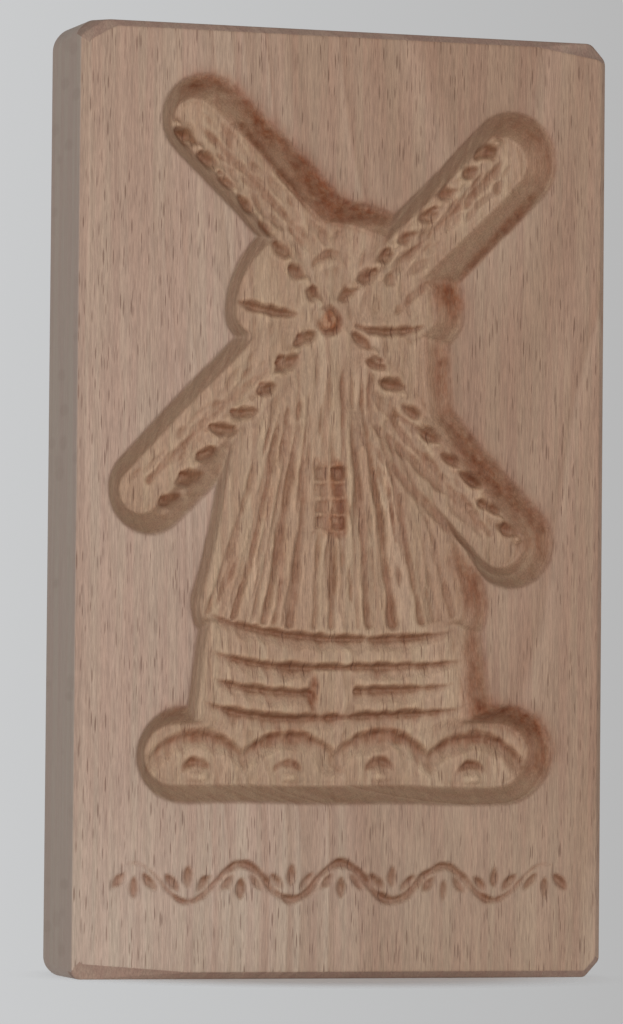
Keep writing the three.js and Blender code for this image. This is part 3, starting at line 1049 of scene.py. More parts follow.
@dataclass(frozen=True)
class Thatch:
    """The thatched body: it widens into a skirt with round corners and a sagging hem.

    Attributes:
        top, waist, hem: heights, measured down from the hub.
        top_half, waist_half, skirt_half: half widths at the top, at the waist's bend and at the skirt.
        hem_sag: how far the hem's middle hangs below its ends.
        corner: width and height of the rounding at the skirt's corners.
        spread, gather, curl: how far out the outermost straw ends, the share of that where it starts,
            and the power by which it bends outward.
        straw_top, straw_gap, straw_lift: where straws start below the hub, how far above the hem they
            end, and how much higher the outermost ones do.
        even_straws, even_straw, even_slip, even_from: straws at even distances.
        heavy: straws cut hard, each as a share of the way out, a width and a depth.
        heavy_pressing, heavy_from, heavy_tearing: what multiplies those depths, where they start, and
            how they tear.
        loose_straws, loose_from, loose_length, loose_width, loose_depth, loose_tearing: short straws.
        beads, bead, bead_from, bead_length: what stands between the straws.
        foot_slip, sizes: how far a straw's end slips, and how straws vary in size.
        straw_points: how many points a straw's path has.
    """

    x: float = -0.7
    top: float = -4.0
    top_half: float = 25.2
    waist: float = 45.0
    waist_half: float = 29.6
    skirt_half: float = 36.7
    hem: float = 74.0
    hem_sag: float = 5.0
    corner: Point = (5.5, 9.0)
    recess: Recess = Recess(6.0, 4.4, 0.5)
    spread: float = 30.5
    gather: float = 0.5
    curl: float = 1.25
    straw_top: float = 16.0
    straw_gap: float = 2.4
    straw_lift: float = 3.2
    even_straws: int = 13
    even_straw: Tool = Tool(1.8, 0.65)
    even_slip: float = 0.03
    even_from: float = 0.4
    heavy: tuple[tuple[float, float, float], ...] = (
        (-0.8, 2.2, 0.7), (-0.57, 3.0, 0.9), (-0.36, 2.2, 0.6), (-0.03, 2.2, 0.7),
        (0.3, 2.6, 0.7), (0.5, 3.0, 0.9), (0.72, 2.4, 0.6),
    )
    heavy_pressing: float = 1.5
    heavy_from: float = 0.05
    heavy_tearing: float = 0.3
    loose_straws: int = 156
    loose_from: Point = (-0.15, 0.85)
    loose_length: Point = (0.1, 0.4)
    loose_width: Point = (0.9, 2.2)
    loose_depth: Point = (0.3, 1.0)
    loose_tearing: Point = (-0.4, 0.5)
    beads: int = 52
    bead: Tool = Tool(1.8, -0.6)
    bead_from: Point = (0.0, 0.6)
    bead_length: float = 0.35
    foot_slip: float = 0.4
    straw_points: int = 9
    sizes: Point = (0.75, 1.2)

    def carve(self, relief: Relief, hub: Hub) -> None:
        """Cuts the body and its straws.

        Args:
            relief: what it is cut into.
            hub: what its heights are measured from.
        """
        relief.sink(self.outline(hub), self.recess)
        random = relief.random
        for i in range(self.even_straws):
            share = 2 * i / (self.even_straws - 1) - 1 + random.normal(0, self.even_slip)
            self.straw(relief, hub, share, self.even_straw, random.uniform(0.0, self.even_from), 1.0)
        for share, width, depth in self.heavy:
            tool = Tool(width, depth * self.heavy_pressing, tearing=self.heavy_tearing)
            self.straw(relief, hub, share, tool, self.heavy_from, 1.0)
        for share in random.uniform(-1, 1, self.loose_straws):
            start = random.uniform(*self.loose_from)
            end = min(start + random.uniform(*self.loose_length), 1.0)
            width, depth = random.uniform(*self.loose_width), random.uniform(*self.loose_depth)
            tool = Tool(width, depth, tearing=random.uniform(*self.loose_tearing))
            self.straw(relief, hub, share, tool, start, end)
        for share in random.uniform(-1, 1, self.beads):
            start = random.uniform(*self.bead_from)
            self.straw(relief, hub, share, self.bead, start, start + self.bead_length)

    def outline(self, hub: Hub) -> Array:
        """The body's edge on the face.

        Args:
            hub: what its heights are measured from.

        Returns:
            Its points, counterclockwise from the top left.
        """
        top, waist, hem = (hub.y - below for below in (self.top, self.waist, self.hem))
        skirt, hem_half, half = hem + self.corner[1], self.skirt_half - self.corner[0], self.skirt_half
        return np.vstack([
            bent((-self.top_half, top), (-self.waist_half, waist), (-half, skirt)),
            bent((-half, skirt), (-half, hem), (-hem_half, hem)),
            bent((-hem_half, hem), (0, hem - 2 * self.hem_sag), (hem_half, hem)),
            bent((hem_half, hem), (half, hem), (half, skirt)),
            bent((half, skirt), (self.waist_half, waist), (self.top_half, top)),
        ]) + (self.x, 0)

    def straw(self, relief: Relief, hub: Hub, share: float, tool: Tool, start: float, end: float) -> None:
        """Cuts one straw, which fans out towards the hem.

        Args:
            relief: what it is cut into.
            hub: what heights are measured from.
            share: how far out from the middle it lies, -1 to 1.
            tool: its width, depth and tearing.
            start, end: shares of the way down the thatch.
        """
        foot = share * self.spread + relief.random.normal(0, self.foot_slip)
        t = np.linspace(start, end, self.straw_points)
        across = self.x + foot * (self.gather + (1 - self.gather) * np.maximum(t, 0) ** self.curl)
        lift = self.straw_lift * share * share
        up = hub.y - self.straw_top - t * (self.hem - (self.straw_top + self.straw_gap) - lift)
        size = relief.random.uniform(*self.sizes)
        pressure = Pressure.LEAF if end < 1 else Pressure.FADING_IN
        relief.cut(np.stack([across, up], 1), replace(tool.sized(size), pressure=pressure, blade=Blade.SPOON))


@dataclass(frozen=True)
class Window:
    """The window in the thatch: panes cut between thin bars.

    Attributes:
        columns, lines, bar: how many panes it has, and the width of the bars between them.
        margin, sunk, slope: how far round it straws are cleared, how deep its bars lie, and how far the
            sides of that hollow slope in.
        pane_depth, depth, further, depths: a pane's least depth, what is added, the shares of that in
            the first column and for each further one, and how panes vary.
        mullion, mullion_width: the cut down each column, and its width against a pane's.
        tearing: of the first column's cut, and what each further one adds.
    """

    below_hub: float = 41.6
    width: float = 7.4
    height: float = 14.5
    columns: int = 2
    lines: int = 4
    bar: float = 0.7
    margin: float = 0.6
    sunk: float = 0.45
    slope: float = 0.8
    depth: float = 0.9
    pane_depth: float = 0.5
    further: Point = (0.5, 0.4)
    depths: Point = (0.6, 1.1)
    mullion: Tool = Tool(1.0, 0.5, Pressure.EVEN)
    mullion_width: float = 1.5
    tearing: float = 0.4

    def carve(self, relief: Relief, hub: Hub) -> None:
        """Cuts the panes.

        Args:
            relief: what they are cut into.
            hub: what the window hangs under.
        """
        pane_width = (self.width + self.bar) / self.columns - self.bar
        pane_height = (self.height + self.bar) / self.lines - self.bar
        middle, half, tall = hub.y - self.below_hub, self.width / 2, self.height / 2
        around = (hub.x - half, hub.x + half, middle - tall, middle + tall)
        relief.clear(*(side + out * self.margin for side, out in zip(around, (-1, 1, -1, 1))))
        relief.pocket(*around, self.sunk, self.slope)
        for column in range(self.columns):
            left = hub.x - half + column * (pane_width + self.bar)
            share = self.further[0] + self.further[1] * column
            for line in range(self.lines):
                bottom = middle - tall + line * (pane_height + self.bar)
                deep = self.pane_depth + self.depth * share * relief.random.uniform(*self.depths)
                relief.pocket(left, left + pane_width, bottom, bottom + pane_height, deep)
            x = left + pane_width / 2
            tearing = self.tearing + self.tearing * column
            tool = replace(self.mullion, width=self.mullion_width * pane_width, tearing=tearing)
            relief.cut(np.array([(x, middle - tall), (x, middle + tall)]), tool)


@dataclass(frozen=True)
class Walls:
    """The boarded walls and the door under the thatch.

    Attributes:
        top, foot, top_half, foot_half: heights, measured down from the hub, and half widths there.
        lines: the lines between the boards, as ends and controls given from the hub.
        board, board_shift, seam: the hollow under each line, how far up its path is moved from the
            line's, and the line itself.
        door_x, sill: the door's middle, from that of the walls, and its foot, from the hub.
        jamb, jamb_slant, doorstep: the line down the door's left side, how far its foot stands in, and
            the line at the door's foot.
    """

    x: float = -0.7
    top: float = 60.0
    top_half: float = 32.7
    foot: float = 106.0
    foot_half: float = 40.3
    recess: Recess = Recess(5.4, 4.4, 0.45)
    lines: tuple[tuple[Point, Point, Point, Point], ...] = (
        ((-29.6, -68.2), (-20.0, -74.6), (19.0, -76.8), (32.0, -71.6)),
        ((-29.0, -77.2), (-18.0, -82.4), (17.0, -82.8), (34.4, -78.6)),
        ((-29.0, -83.6), (-18.0, -88.3), (16.0, -88.6), (32.0, -84.2)),
        ((-31.4, -89.0), (-20.0, -94.6), (16.0, -94.8), (34.6, -89.8)),
    )
    board: Tool = Tool(4.4, 0.9, Pressure.DRAWN_OUT, Blade.SPOON, lean=-0.4)
    board_shift: float = -0.6
    seam: Tool = Tool(3.2, 1.7, Pressure.DRAWN_OUT, Blade.VEINER, lean=-0.2, tearing=0.4)
    door_x: float = 0.2
    door_width: float = 10.0
    door_height: float = 12.0
    door_depth: float = 0.8
    door_slope: float = 0.8
    sill: float = -93.4
    jamb: Tool = Tool(3.0, 1.6, Pressure.LEAF, Blade.VEINER, tearing=1.0)
    jamb_slant: float = 0.4
    doorstep: Tool = Tool(3.0, 1.8, Pressure.EVEN, Blade.VEINER, tearing=0.6)

    def carve(self, relief: Relief, hub: Hub) -> None:
        """Cuts the walls, the lines between their boards, and the door.

        Args:
            relief: what they are cut into.
            hub: what their places are given from.
        """
        top, foot = hub.y - self.top, hub.y - self.foot
        outline = np.array([
            (self.top_half, top), (-self.top_half, top), (-self.foot_half, foot), (self.foot_half, foot),
        ])
        relief.sink(outline + (self.x, 0), self.recess)
        for line in self.lines:
            path = curved(hub.path(line))
            relief.cut(path + (0, self.board_shift), self.board)
            relief.cut(path, self.seam)
        sill = hub.y + self.sill
        lintel, middle = sill + self.door_height, self.x + self.door_x
        left, right = middle - self.door_width / 2, middle + self.door_width / 2
        relief.clear(left, right, sill, lintel)
        relief.pocket(left, right, sill, lintel, self.door_depth, self.door_slope)
        relief.cut(np.array([(left, lintel), (left + self.jamb_slant, sill)]), self.jamb)
        relief.cut(np.array([(left, sill), (right, sill)]), self.doorstep)


@dataclass(frozen=True)
class Mound:
    """The mound: a long recess with round ends, and a row of scallops with a tuft in each.

    Attributes:
        left, right, foot, left_radius, right_radius: its ends, its lowest line, and its round ends.
        scallops, scallop_inset: how many there are, and how far their row stays inside the ends.
        scallop_radius, scallop_top: of a scallop's arc, and the height of its top above the foot.
        tuft_radius, tuft_top, tuft_width: the same of a tuft, and its width against its height.
        tuft_left, tuft_from, tuft_to: how far left of the scallop's middle it lies, and its angles.
        turf, turf_edge, turf_edge_up: tools along a scallop's arc, and how far above it the second goes.
        tuft, tuft_bead, bead_ends: tools of a tuft, and the ends of the bead in it, from its middle.
    """

    left: float = -50.7
    right: float = 51.9
    foot: float = -69.8
    left_radius: float = 11.0
    right_radius: float = 11.5
    recess: Recess = Recess(6.7, 4.1)
    scallops: int = 4
    scallop_inset: float = 5.8
    scallop_radius: float = 14.5
    scallop_top: float = 15.2
    tuft_radius: float = 3.3
    tuft_top: float = 9.2
    tuft_width: float = 1.15
    tuft_left: float = 0.4
    tuft_from: float = 170.0
    tuft_to: float = 15.0
    scooping: Scooping = Scooping(4.5, 60, Tool(2.0, 0.3))
    turf: Tool = Tool(6.0, 1.3, Pressure.EVEN, Blade.SPOON, lean=-0.3)
    turf_edge: Tool = Tool(4.6, 0.9, Pressure.LEAF, Blade.SPOON, tearing=0.6)
    turf_edge_up: float = 0.4
    tuft: Tool = Tool(3.0, 0.9, Pressure.LEAF, Blade.SPOON, tearing=0.55)
    tuft_bead: Tool = Tool(2.8, -0.7, Pressure.EVEN, Blade.SPOON)
    bead_ends: Point = (-1.2, 0.8)

    def carve(self, relief: Relief) -> None:
        """Cuts the mound.

        Args:
            relief: what it is cut into.
        """
        start = (self.left + self.left_radius, self.foot + self.left_radius)
        end = (self.right - self.right_radius, self.foot + self.right_radius)
        relief.sink(round_ended(start, self.left_radius, end, self.right_radius), self.recess)
        relief.scoop(start, end, ALONG_GRAIN, self.scooping)
        first, last = self.left + self.scallop_inset, self.right - self.scallop_inset
        spacing, radius = (last - first) / self.scallops, self.scallop_radius
        reach = math.degrees(math.asin(spacing / 2 / radius))
        for i in range(self.scallops):
            x = first + (i + 0.5) * spacing
            y = self.foot + self.scallop_top - radius
            turf = arc_points(x, y, radius, radius, 90 + reach, 90 - reach, steps=16)
            relief.cut(turf, self.turf)
            relief.cut(turf + (0, self.turf_edge_up), self.turf_edge)
            y = self.foot + self.tuft_top - self.tuft_radius
            across, up = self.tuft_radius * self.tuft_width, self.tuft_radius
            tuft = arc_points(x - self.tuft_left, y, across, up, self.tuft_from, self.tuft_to, steps=12)
            relief.cut(tuft, self.tuft)
            relief.cut(np.array([(x + end, y) for end in self.bead_ends]), self.tuft_bead)


@dataclass(frozen=True)
class Vine:
    """A running vine along the foot of the face: a wavy stem with three small leaves in every hollow.

    Attributes:
        left, right, y: its ends and its middle line.
        waves, swing: how many waves it has, and how far it swings to each side.
        leaf_start, leaf_length: how far from the stem a leaf starts, and its length.
        fan: angle between leaves, in degrees.
        stem_points: how many points the stem's path has.
    """

    left: float = -57.0
    right: float = 57.0
    y: float = -87.8
    waves: float = 4.5
    swing: float = 4.2
    leaf_length: float = 6.0
    leaf_start: float = 2.6
    fan: float = 42.0
    stem_points: int = 109
    stem: Tool = Tool(2.2, 1.1, Pressure.DRAWN_OUT, tearing=0.4)
    leaf: Tool = Tool(2.7, 1.1, tearing=0.3)

    def stem_point(self, wave: float) -> Array:
        """The stem's middle after some waves."""
        x = self.left + (self.right - self.left) * wave / self.waves
        return np.array([x, self.y + self.swing * math.sin(2 * math.pi * wave)])

    def carve(self, relief: Relief) -> None:
        """Cuts the stem and its leaves.

        Args:
            relief: what they are cut into.
        """
        stem = np.array([self.stem_point(wave) for wave in np.linspace(0, self.waves, self.stem_points)])
        relief.cut(stem, self.stem)
        for i in range(int(2 * self.waves)):
            crest = self.stem_point((i + 0.5) / 2)
            inward = -90 if crest[1] > self.y else 90
            for turn in (-self.fan, 0, self.fan):
                out = towards(math.radians(inward + turn))
                base = crest + out * self.leaf_start
                path = np.array([base, base + out * self.leaf_length / 2, base + out * self.leaf_length])
                relief.cut(path, self.leaf)


@dataclass(frozen=True)
class Figure:
    """Everything that is carved into the face, in the order that it is cut."""

    sails: tuple[Sail, ...] = (
        Sail(
            "upper_left", (-35.2, 88.0), 10.5, (1.6, 11.5), (-3.6, 5.8), (-35.6, 41.2), leaves=8, lean=14,
            scores=(((-26.0, 47.4), (-3.3, 23.4)),),
        ),
        Sail(
            "upper_right", (41.1, 81.0), 11.1, (11.1, 6.5), (5.2, 5.4), (38.8, 40.0), leaves=8, lean=-27,
            seams=(((16.0, 1.0), (26.0, 10.5)),), frays=(((27.5, 7.0), (52.4, 34.0)),),
            recess=Recess(7.4, 5.2, 0.3),
        ),
        Sail(
            "lower_left", (-47.5, 2.3), 10.6, (-12.6, -8.0), (-5.6, -5.0), (-39.6, -43.2), leaves=8, lean=-28,
            leaf_length=6.8, leaf_width=4.8, leaf_depth=2.0,
        ),
        Sail(
            "lower_right", (41.1, -8.4), 10.8, (8.6, -15.0), (7.4, -4.4), (44.6, -47.4), leaves=9, lean=24,
            seams=(((3.0, -22.4), (38.0, -56.0)), ((9.0, -22.0), (33.0, -42.0))),
            leaf_length=7.2, leaf_width=3.7, recess=Recess(7.4, 5.2, 0.5),
        ),
    )
    cap: Cap = Cap()
    thatch: Thatch = Thatch()
    window: Window = Window()
    walls: Walls = Walls()
    hub: Hub = Hub()
    mound: Mound = Mound()
    vine: Vine = Vine()

    def carve(self, relief: Relief) -> Surface:
        """Cuts the whole figure.

        Args:
            relief: what it is cut into.

        Returns:
            The finished surface.
        """
        for sail in self.sails:
            sail.carve(relief, self.hub)
            log.info("carved the %s sail", sail.name)
        for part in (self.cap, self.thatch, self.window, self.walls):
            part.carve(relief, self.hub)
            log.info("carved the %s", type(part).__name__.lower())
        for part in (self.hub, self.mound, self.vine):
            part.carve(relief)
            log.info("carved the %s", type(part).__name__.lower())
        return relief.worn()


# Meshing


class Side(Enum):
    """The board's surfaces, as material slots."""

    FACE = 0
    EDGE = 1
    END = 2


class BoardMesh:
    """The board as one closed mesh: the relief, the flat wood round it, and the blank's other sides.

    Attributes:
        MASKS: the surface's masks, as the mesh carries them.
        SHOWN_TEAR: how strongly torn grain and painted shade show where the face is meshed finely.
        FACE_STRIPS: how many strips of the profile the face's finish reaches over, on sides and on ends.
        FRONT_STRIPS: how many of them lie before the last of the blank's side_rings.
        CROSSWISE: how far across the board a strip runs to be end grain, in front and behind.
    """

    MASKS = ("carved", "wall", "crossing", "torn", "cut", "ridge")
    SHOWN_TEAR = 0.1
    FACE_STRIPS = (5, 2)
    FRONT_STRIPS = 9
    CROSSWISE = (0.3, 0.9)

    def __init__(self, blank: Blank, relief: Relief, surface: Surface) -> None:
        """Keeps what the mesh is made from.

        Args:
            blank: the planed board.
            relief, surface: the carving's grid, and the carving on it.
        """
        self.blank, self.relief, self.surface = blank, relief, surface
        self.points: list[Place] = []
        self.faces: list[list[int]] = []
        self.sides: list[int] = []
        self.index = np.full(surface.depth.shape, -1)

    def add_face(self, corners: list[int], side: Side) -> None:
        """Adds a face whose corners run counterclockwise, seen from outside."""
        self.faces.append(corners)
        self.sides.append(side.value)

    def lay_relief(self) -> None:
        """Meshes the relief finely where it is carved, and in whole blocks where it is flat."""
        block = self.relief.block
        depth = self.surface.depth
        rows, columns = self.relief.rows // block, self.relief.columns // block
        span = [np.s_[i * block:(i + 1) * block + 1] for i in range(max(rows, columns))]
        shown = (depth > 0) | (self.surface.torn > self.SHOWN_TEAR)
        fine = np.array([[shown[span[j], span[i]].any() for i in range(columns)] for j in range(rows)])
        used = np.zeros(depth.shape, bool)
        used[::block, ::block] = True
        for j, i in zip(*np.nonzero(fine)):
            used[span[j], span[i]] = True
        self.index[used] = np.arange(used.sum())
        across, up = np.meshgrid(self.relief.x, self.relief.y)
        self.points += list(zip(across[used], up[used], -depth[used]))
        for j in range(rows):
            for i in range(columns):
                grid = self.index[span[j], span[i]]
                if fine[j, i]:
                    quads = np.stack([grid[:-1, :-1], grid[:-1, 1:], grid[1:, 1:], grid[1:, :-1]], -1)
                    for quad in quads.reshape(-1, 4).tolist():
                        self.add_face(quad, Side.FACE)
                else:
                    rim = [*grid[0, :-1], *grid[:-1, -1], *grid[-1, :0:-1], *grid[:0:-1, 0]]
                    self.add_face([int(point) for point in rim if point >= 0], Side.FACE)

    def lay_blank(self) -> None:
        """Meshes the rest of the board in rings round its outline, from the face to the back."""
        rings = []
        for inset, behind in self.blank.profile():
            outline = self.blank.outline(inset, behind)
            first = len(self.points)
            self.points += [(x, y, -behind) for x, y in outline]
            rings.append(np.arange(first, first + len(outline)))
        for strip, (near, far) in enumerate(zip(rings, rings[1:])):
            places = np.array([self.points[i][:2] for i in near])
            sides = np.roll(places, -1, 0) - places
            crosswise = abs(sides[:, 0]) / np.hypot(sides[:, 0], sides[:, 1])
            corners = np.stack([near, far, np.roll(far, -1), np.roll(near, -1)], 1)
            for face, share in zip(corners.tolist(), crosswise):
                self.add_face(face, self.side_at(strip, share))
        self.add_face(rings[-1][::-1].tolist(), Side.EDGE)
        self.join_relief(rings[0])

    def side_at(self, strip: int, crosswise: float) -> Side:
        """Which of the board's surfaces a face between two rings belongs to.

        Args:
            strip: number of the rings before it.
            crosswise: how far it runs across the board, 0 to 1.

        Returns:
            The surface.
        """
        across_grain = crosswise > self.CROSSWISE[strip >= self.FRONT_STRIPS]
        if strip < self.FACE_STRIPS[across_grain]:
            return Side.FACE
        return Side.END if across_grain else Side.EDGE

    def join_relief(self, ring: Array) -> None:
        """Joins the relief's rim to the flat ring round it with four flat faces.

        Args:
            ring: the ring's points, by number.
        """
        grid = self.index
        rims = [grid[0, :], grid[:, -1], grid[-1, ::-1], grid[::-1, 0]]
        places = np.array([self.points[i][:2] for i in ring])
        starts = []
        for rim in rims:
            corner = np.array(self.points[rim[0]][:2])
            starts.append(int(np.argmin(np.hypot(*(places - corner).T))))
        for k, rim in enumerate(rims):
            start, end = starts[k], starts[(k + 1) % len(rims)]
            count = (end - start) % len(ring)
            outer = [int(ring[(start + i) % len(ring)]) for i in range(count + 1)]
            inner = [int(point) for point in rim[::-1] if point >= 0]
            self.add_face(outer + inner, Side.FACE)

    def build(self, materials: dict[Side, bpy.types.Material]) -> bpy.types.Object:
        """Makes the mesh and its object, upright in the frame.

        Args:
            materials: one for each of the board's surfaces.

        Returns:
            The object.
        """
        self.lay_relief()
        carved_points = len(self.points)
        self.lay_blank()
        plane = np.array(self.points)
        x, y, z = face_middle()
        upright = np.stack([plane[:, 0] * MM + x, y - plane[:, 2] * MM, plane[:, 1] * MM + z], 1)
        mesh = bpy.data.meshes.new("carved_board")
        mesh.from_pydata(upright.tolist(), [], self.faces)
        for side in Side:
            mesh.materials.append(materials[side])
        mesh.polygons.foreach_set("material_index", self.sides)
        mesh.polygons.foreach_set("use_smooth", [True] * len(self.faces))
        used = self.index >= 0
        for name in self.MASKS:
            values = np.zeros(len(plane), np.float32)
            values[:carved_points] = getattr(self.surface, name)[used]
            mesh.attributes.new(name, "FLOAT", "POINT").data.foreach_set("value", values)
        mesh.update()
        return linked("carved_board", mesh)


# Finishes


@dataclass(frozen=True)
class Noise:
    """Noise that is drawn out along the grain.

    Attributes:
        across, along: length of one feature, across the grain and along it.
        detail, rough: how many finer layers it has, and how strong they are.
    """

    across: float
    along: float
    detail: float = 2.0
    rough: float = 0.5


class Shader:
    """Short calls that add and wire nodes in one tree.

    Attributes:
        MIX_SOCKETS: a Mix node's share and its two colours, as inputs.
        MIX_RESULT: its mixed colour, as an output.
    """

    MIX_SOCKETS = (0, 6, 7)
    MIX_RESULT = 2

    def __init__(self, tree: bpy.types.NodeTree) -> None:
        """Keeps the tree."""
        self.tree = tree

    def add(
        self, kind: str, inputs: Optional[dict[Union[str, int], Feed]] = None, **settings: object
    ) -> bpy.types.Node:
        """Adds a node.

        Args:
            kind: its type, without what every shader node's starts with.
            inputs: what goes into its sockets, by name or number.
            settings: its own settings.

        Returns:
            The node.
        """
        node = self.tree.nodes.new(f"ShaderNode{kind}")
        for name, value in settings.items():
            setattr(node, name, value)
        for socket, value in (inputs or {}).items():
            self.feed(node.inputs[socket], value)
        return node

    def feed(self, socket: Socket, value: Feed) -> None:
        """Links an output to a socket, or sets the socket's own value.

        Args:
            socket: an input.
            value: what goes into it.
        """
        if isinstance(value, Socket):
            self.tree.links.new(value, socket)
        elif isinstance(value, tuple) and len(socket.default_value) == 4:
            socket.default_value = (*value, 1.0)
        else:
            socket.default_value = value

    def math(self, operation: str, *values: Feed) -> Socket:
        """The result of a maths operation."""
        return self.add("Math", dict(enumerate(values)), operation=operation).outputs[0]

    def span(self, value: Feed, low: float, high: float, smooth: bool = True) -> Socket:
        """How far a value has gone from low to high.

        Args:
            value: what is measured.
            low, high: where the result is 0 and where it is 1.
            smooth: whether it starts and ends gently.

        Returns:
            The result, 0 to 1.
        """
        inputs = {"Value": value, "From Min": low, "From Max": high}
        kind = "SMOOTHSTEP" if smooth else "LINEAR"
        return self.add("MapRange", inputs, interpolation_type=kind).outputs["Result"]

    def mix(self, share: Feed, first: Feed, second: Feed, blend: str = "MIX") -> Socket:
        """Mixes two colours.

        Args:
            share: of the second one.
            first, second: the colours.
            blend: how the second is laid on the first.

        Returns:
            The mixed colour.
        """
        inputs = dict(zip(self.MIX_SOCKETS, (share, first, second)))
        node = self.add("Mix", inputs, data_type="RGBA", blend_type=blend, clamp_factor=True)
        return node.outputs[self.MIX_RESULT]

    def times(self, colour: Feed, tint: Feed) -> Socket:
        """A colour multiplied by a tint."""
        return self.mix(1.0, colour, tint, "MULTIPLY")

    def tinted(self, share: Feed, colour: Feed, tint: Feed) -> Socket:
        """A colour that is tinted by a share."""
        return self.mix(share, colour, self.times(colour, tint))

    def grey(self, value: Feed) -> Socket:
        """A value as a grey colour."""
        return self.add("CombineColor", {"Red": value, "Green": value, "Blue": value}).outputs[0]

    def either(self, share: Feed, first: bpy.types.Node, second: bpy.types.Node) -> Socket:
        """One shader or the other, by a share."""
        return self.add("MixShader", {0: share, 1: first.outputs[0], 2: second.outputs[0]}).outputs[0]

    def split(self, place: Feed) -> bpy.types.NodeOutputs:
        """A place's x, y and z."""
        return self.add("SeparateXYZ", {0: place}).outputs

    def millimetres(self) -> Socket:
        """The place on the object, in millimetres."""
        inputs = {0: self.add("TexCoord").outputs["Object"], "Scale": 1 / MM}
        return self.add("VectorMath", inputs, operation="SCALE").outputs[0]

    def stretched(self, place: Feed, x: float, y: float, z: float) -> Socket:
        """A place with each axis divided by the length of one feature along it."""
        return self.add("VectorMath", {0: place, 1: (x, y, z)}, operation="DIVIDE").outputs[0]

    def noise(self, place: Feed, noise: Noise) -> Socket:
        """Lays noise.

        Args:
            place: where it is read.
            noise: the size of its features.

        Returns:
            The noise, 0 to 1.
        """
        at = self.stretched(place, noise.across, noise.across, noise.along)
        inputs = {"Vector": at, "Scale": 1.0, "Detail": noise.detail, "Roughness": noise.rough}
        return self.add("TexNoise", inputs).outputs[0]

    def mask(self, name: str) -> Socket:
        """One of the mesh's masks."""
        return self.add("Attribute", attribute_name=name).outputs["Fac"]


def new_group(
    name: str, inputs: dict[str, str], outputs: dict[str, str]
) -> tuple[Shader, bpy.types.Node, bpy.types.Node]:
    """Makes an empty node group.

    Args:
        name: of the group.
        inputs, outputs: its sockets, each name with its kind.

    Returns:
        Calls for its tree, its input node and its output node.
    """
    tree = bpy.data.node_groups.new(name, "ShaderNodeTree")
    for direction, sockets in (("INPUT", inputs), ("OUTPUT", outputs)):
        for label, kind in sockets.items():
            tree.interface.new_socket(label, in_out=direction, socket_type=f"NodeSocket{kind}")
    return Shader(tree), tree.nodes.new("NodeGroupInput"), tree.nodes.new("NodeGroupOutput")


@dataclass(frozen=True)
class Flecks:
    """Ray flecks, at most one in each cell of the wood.

    Attributes:
        width, height: of a cell, across and along the grain.
        rare: share of the cells whose fleck doesn't show.
        run: how far a ray runs into the wood.
        edge, core: distances from its middle, in cells, where a fleck ends and where it is full.
    """

    width: float
    height: float
    rare: float
    run: float = 16.0
    edge: float = 0.27
    core: float = 0.13

    def laid(self, shader: Shader, place: Feed) -> Socket:
        """Lays the rays as thin upright sheets that run into the wood.

        Args:
            shader: the tree that they are laid in.
            place: in millimetres.

        Returns:
            How strongly a fleck shows there, 0 to 1.
        """
        inputs = {"Vector": shader.stretched(place, self.width, self.run, self.height), "Scale": 1.0}
        cells = shader.add("TexVoronoi", inputs, feature="F1")
        chance = shader.add("SeparateColor", {0: cells.outputs["Color"]}).outputs[0]
        strength = shader.span(chance, self.rare, 1.0, smooth=False)
        return shader.math("MULTIPLY", shader.span(cells.outputs["Distance"], self.edge, self.core), strength)


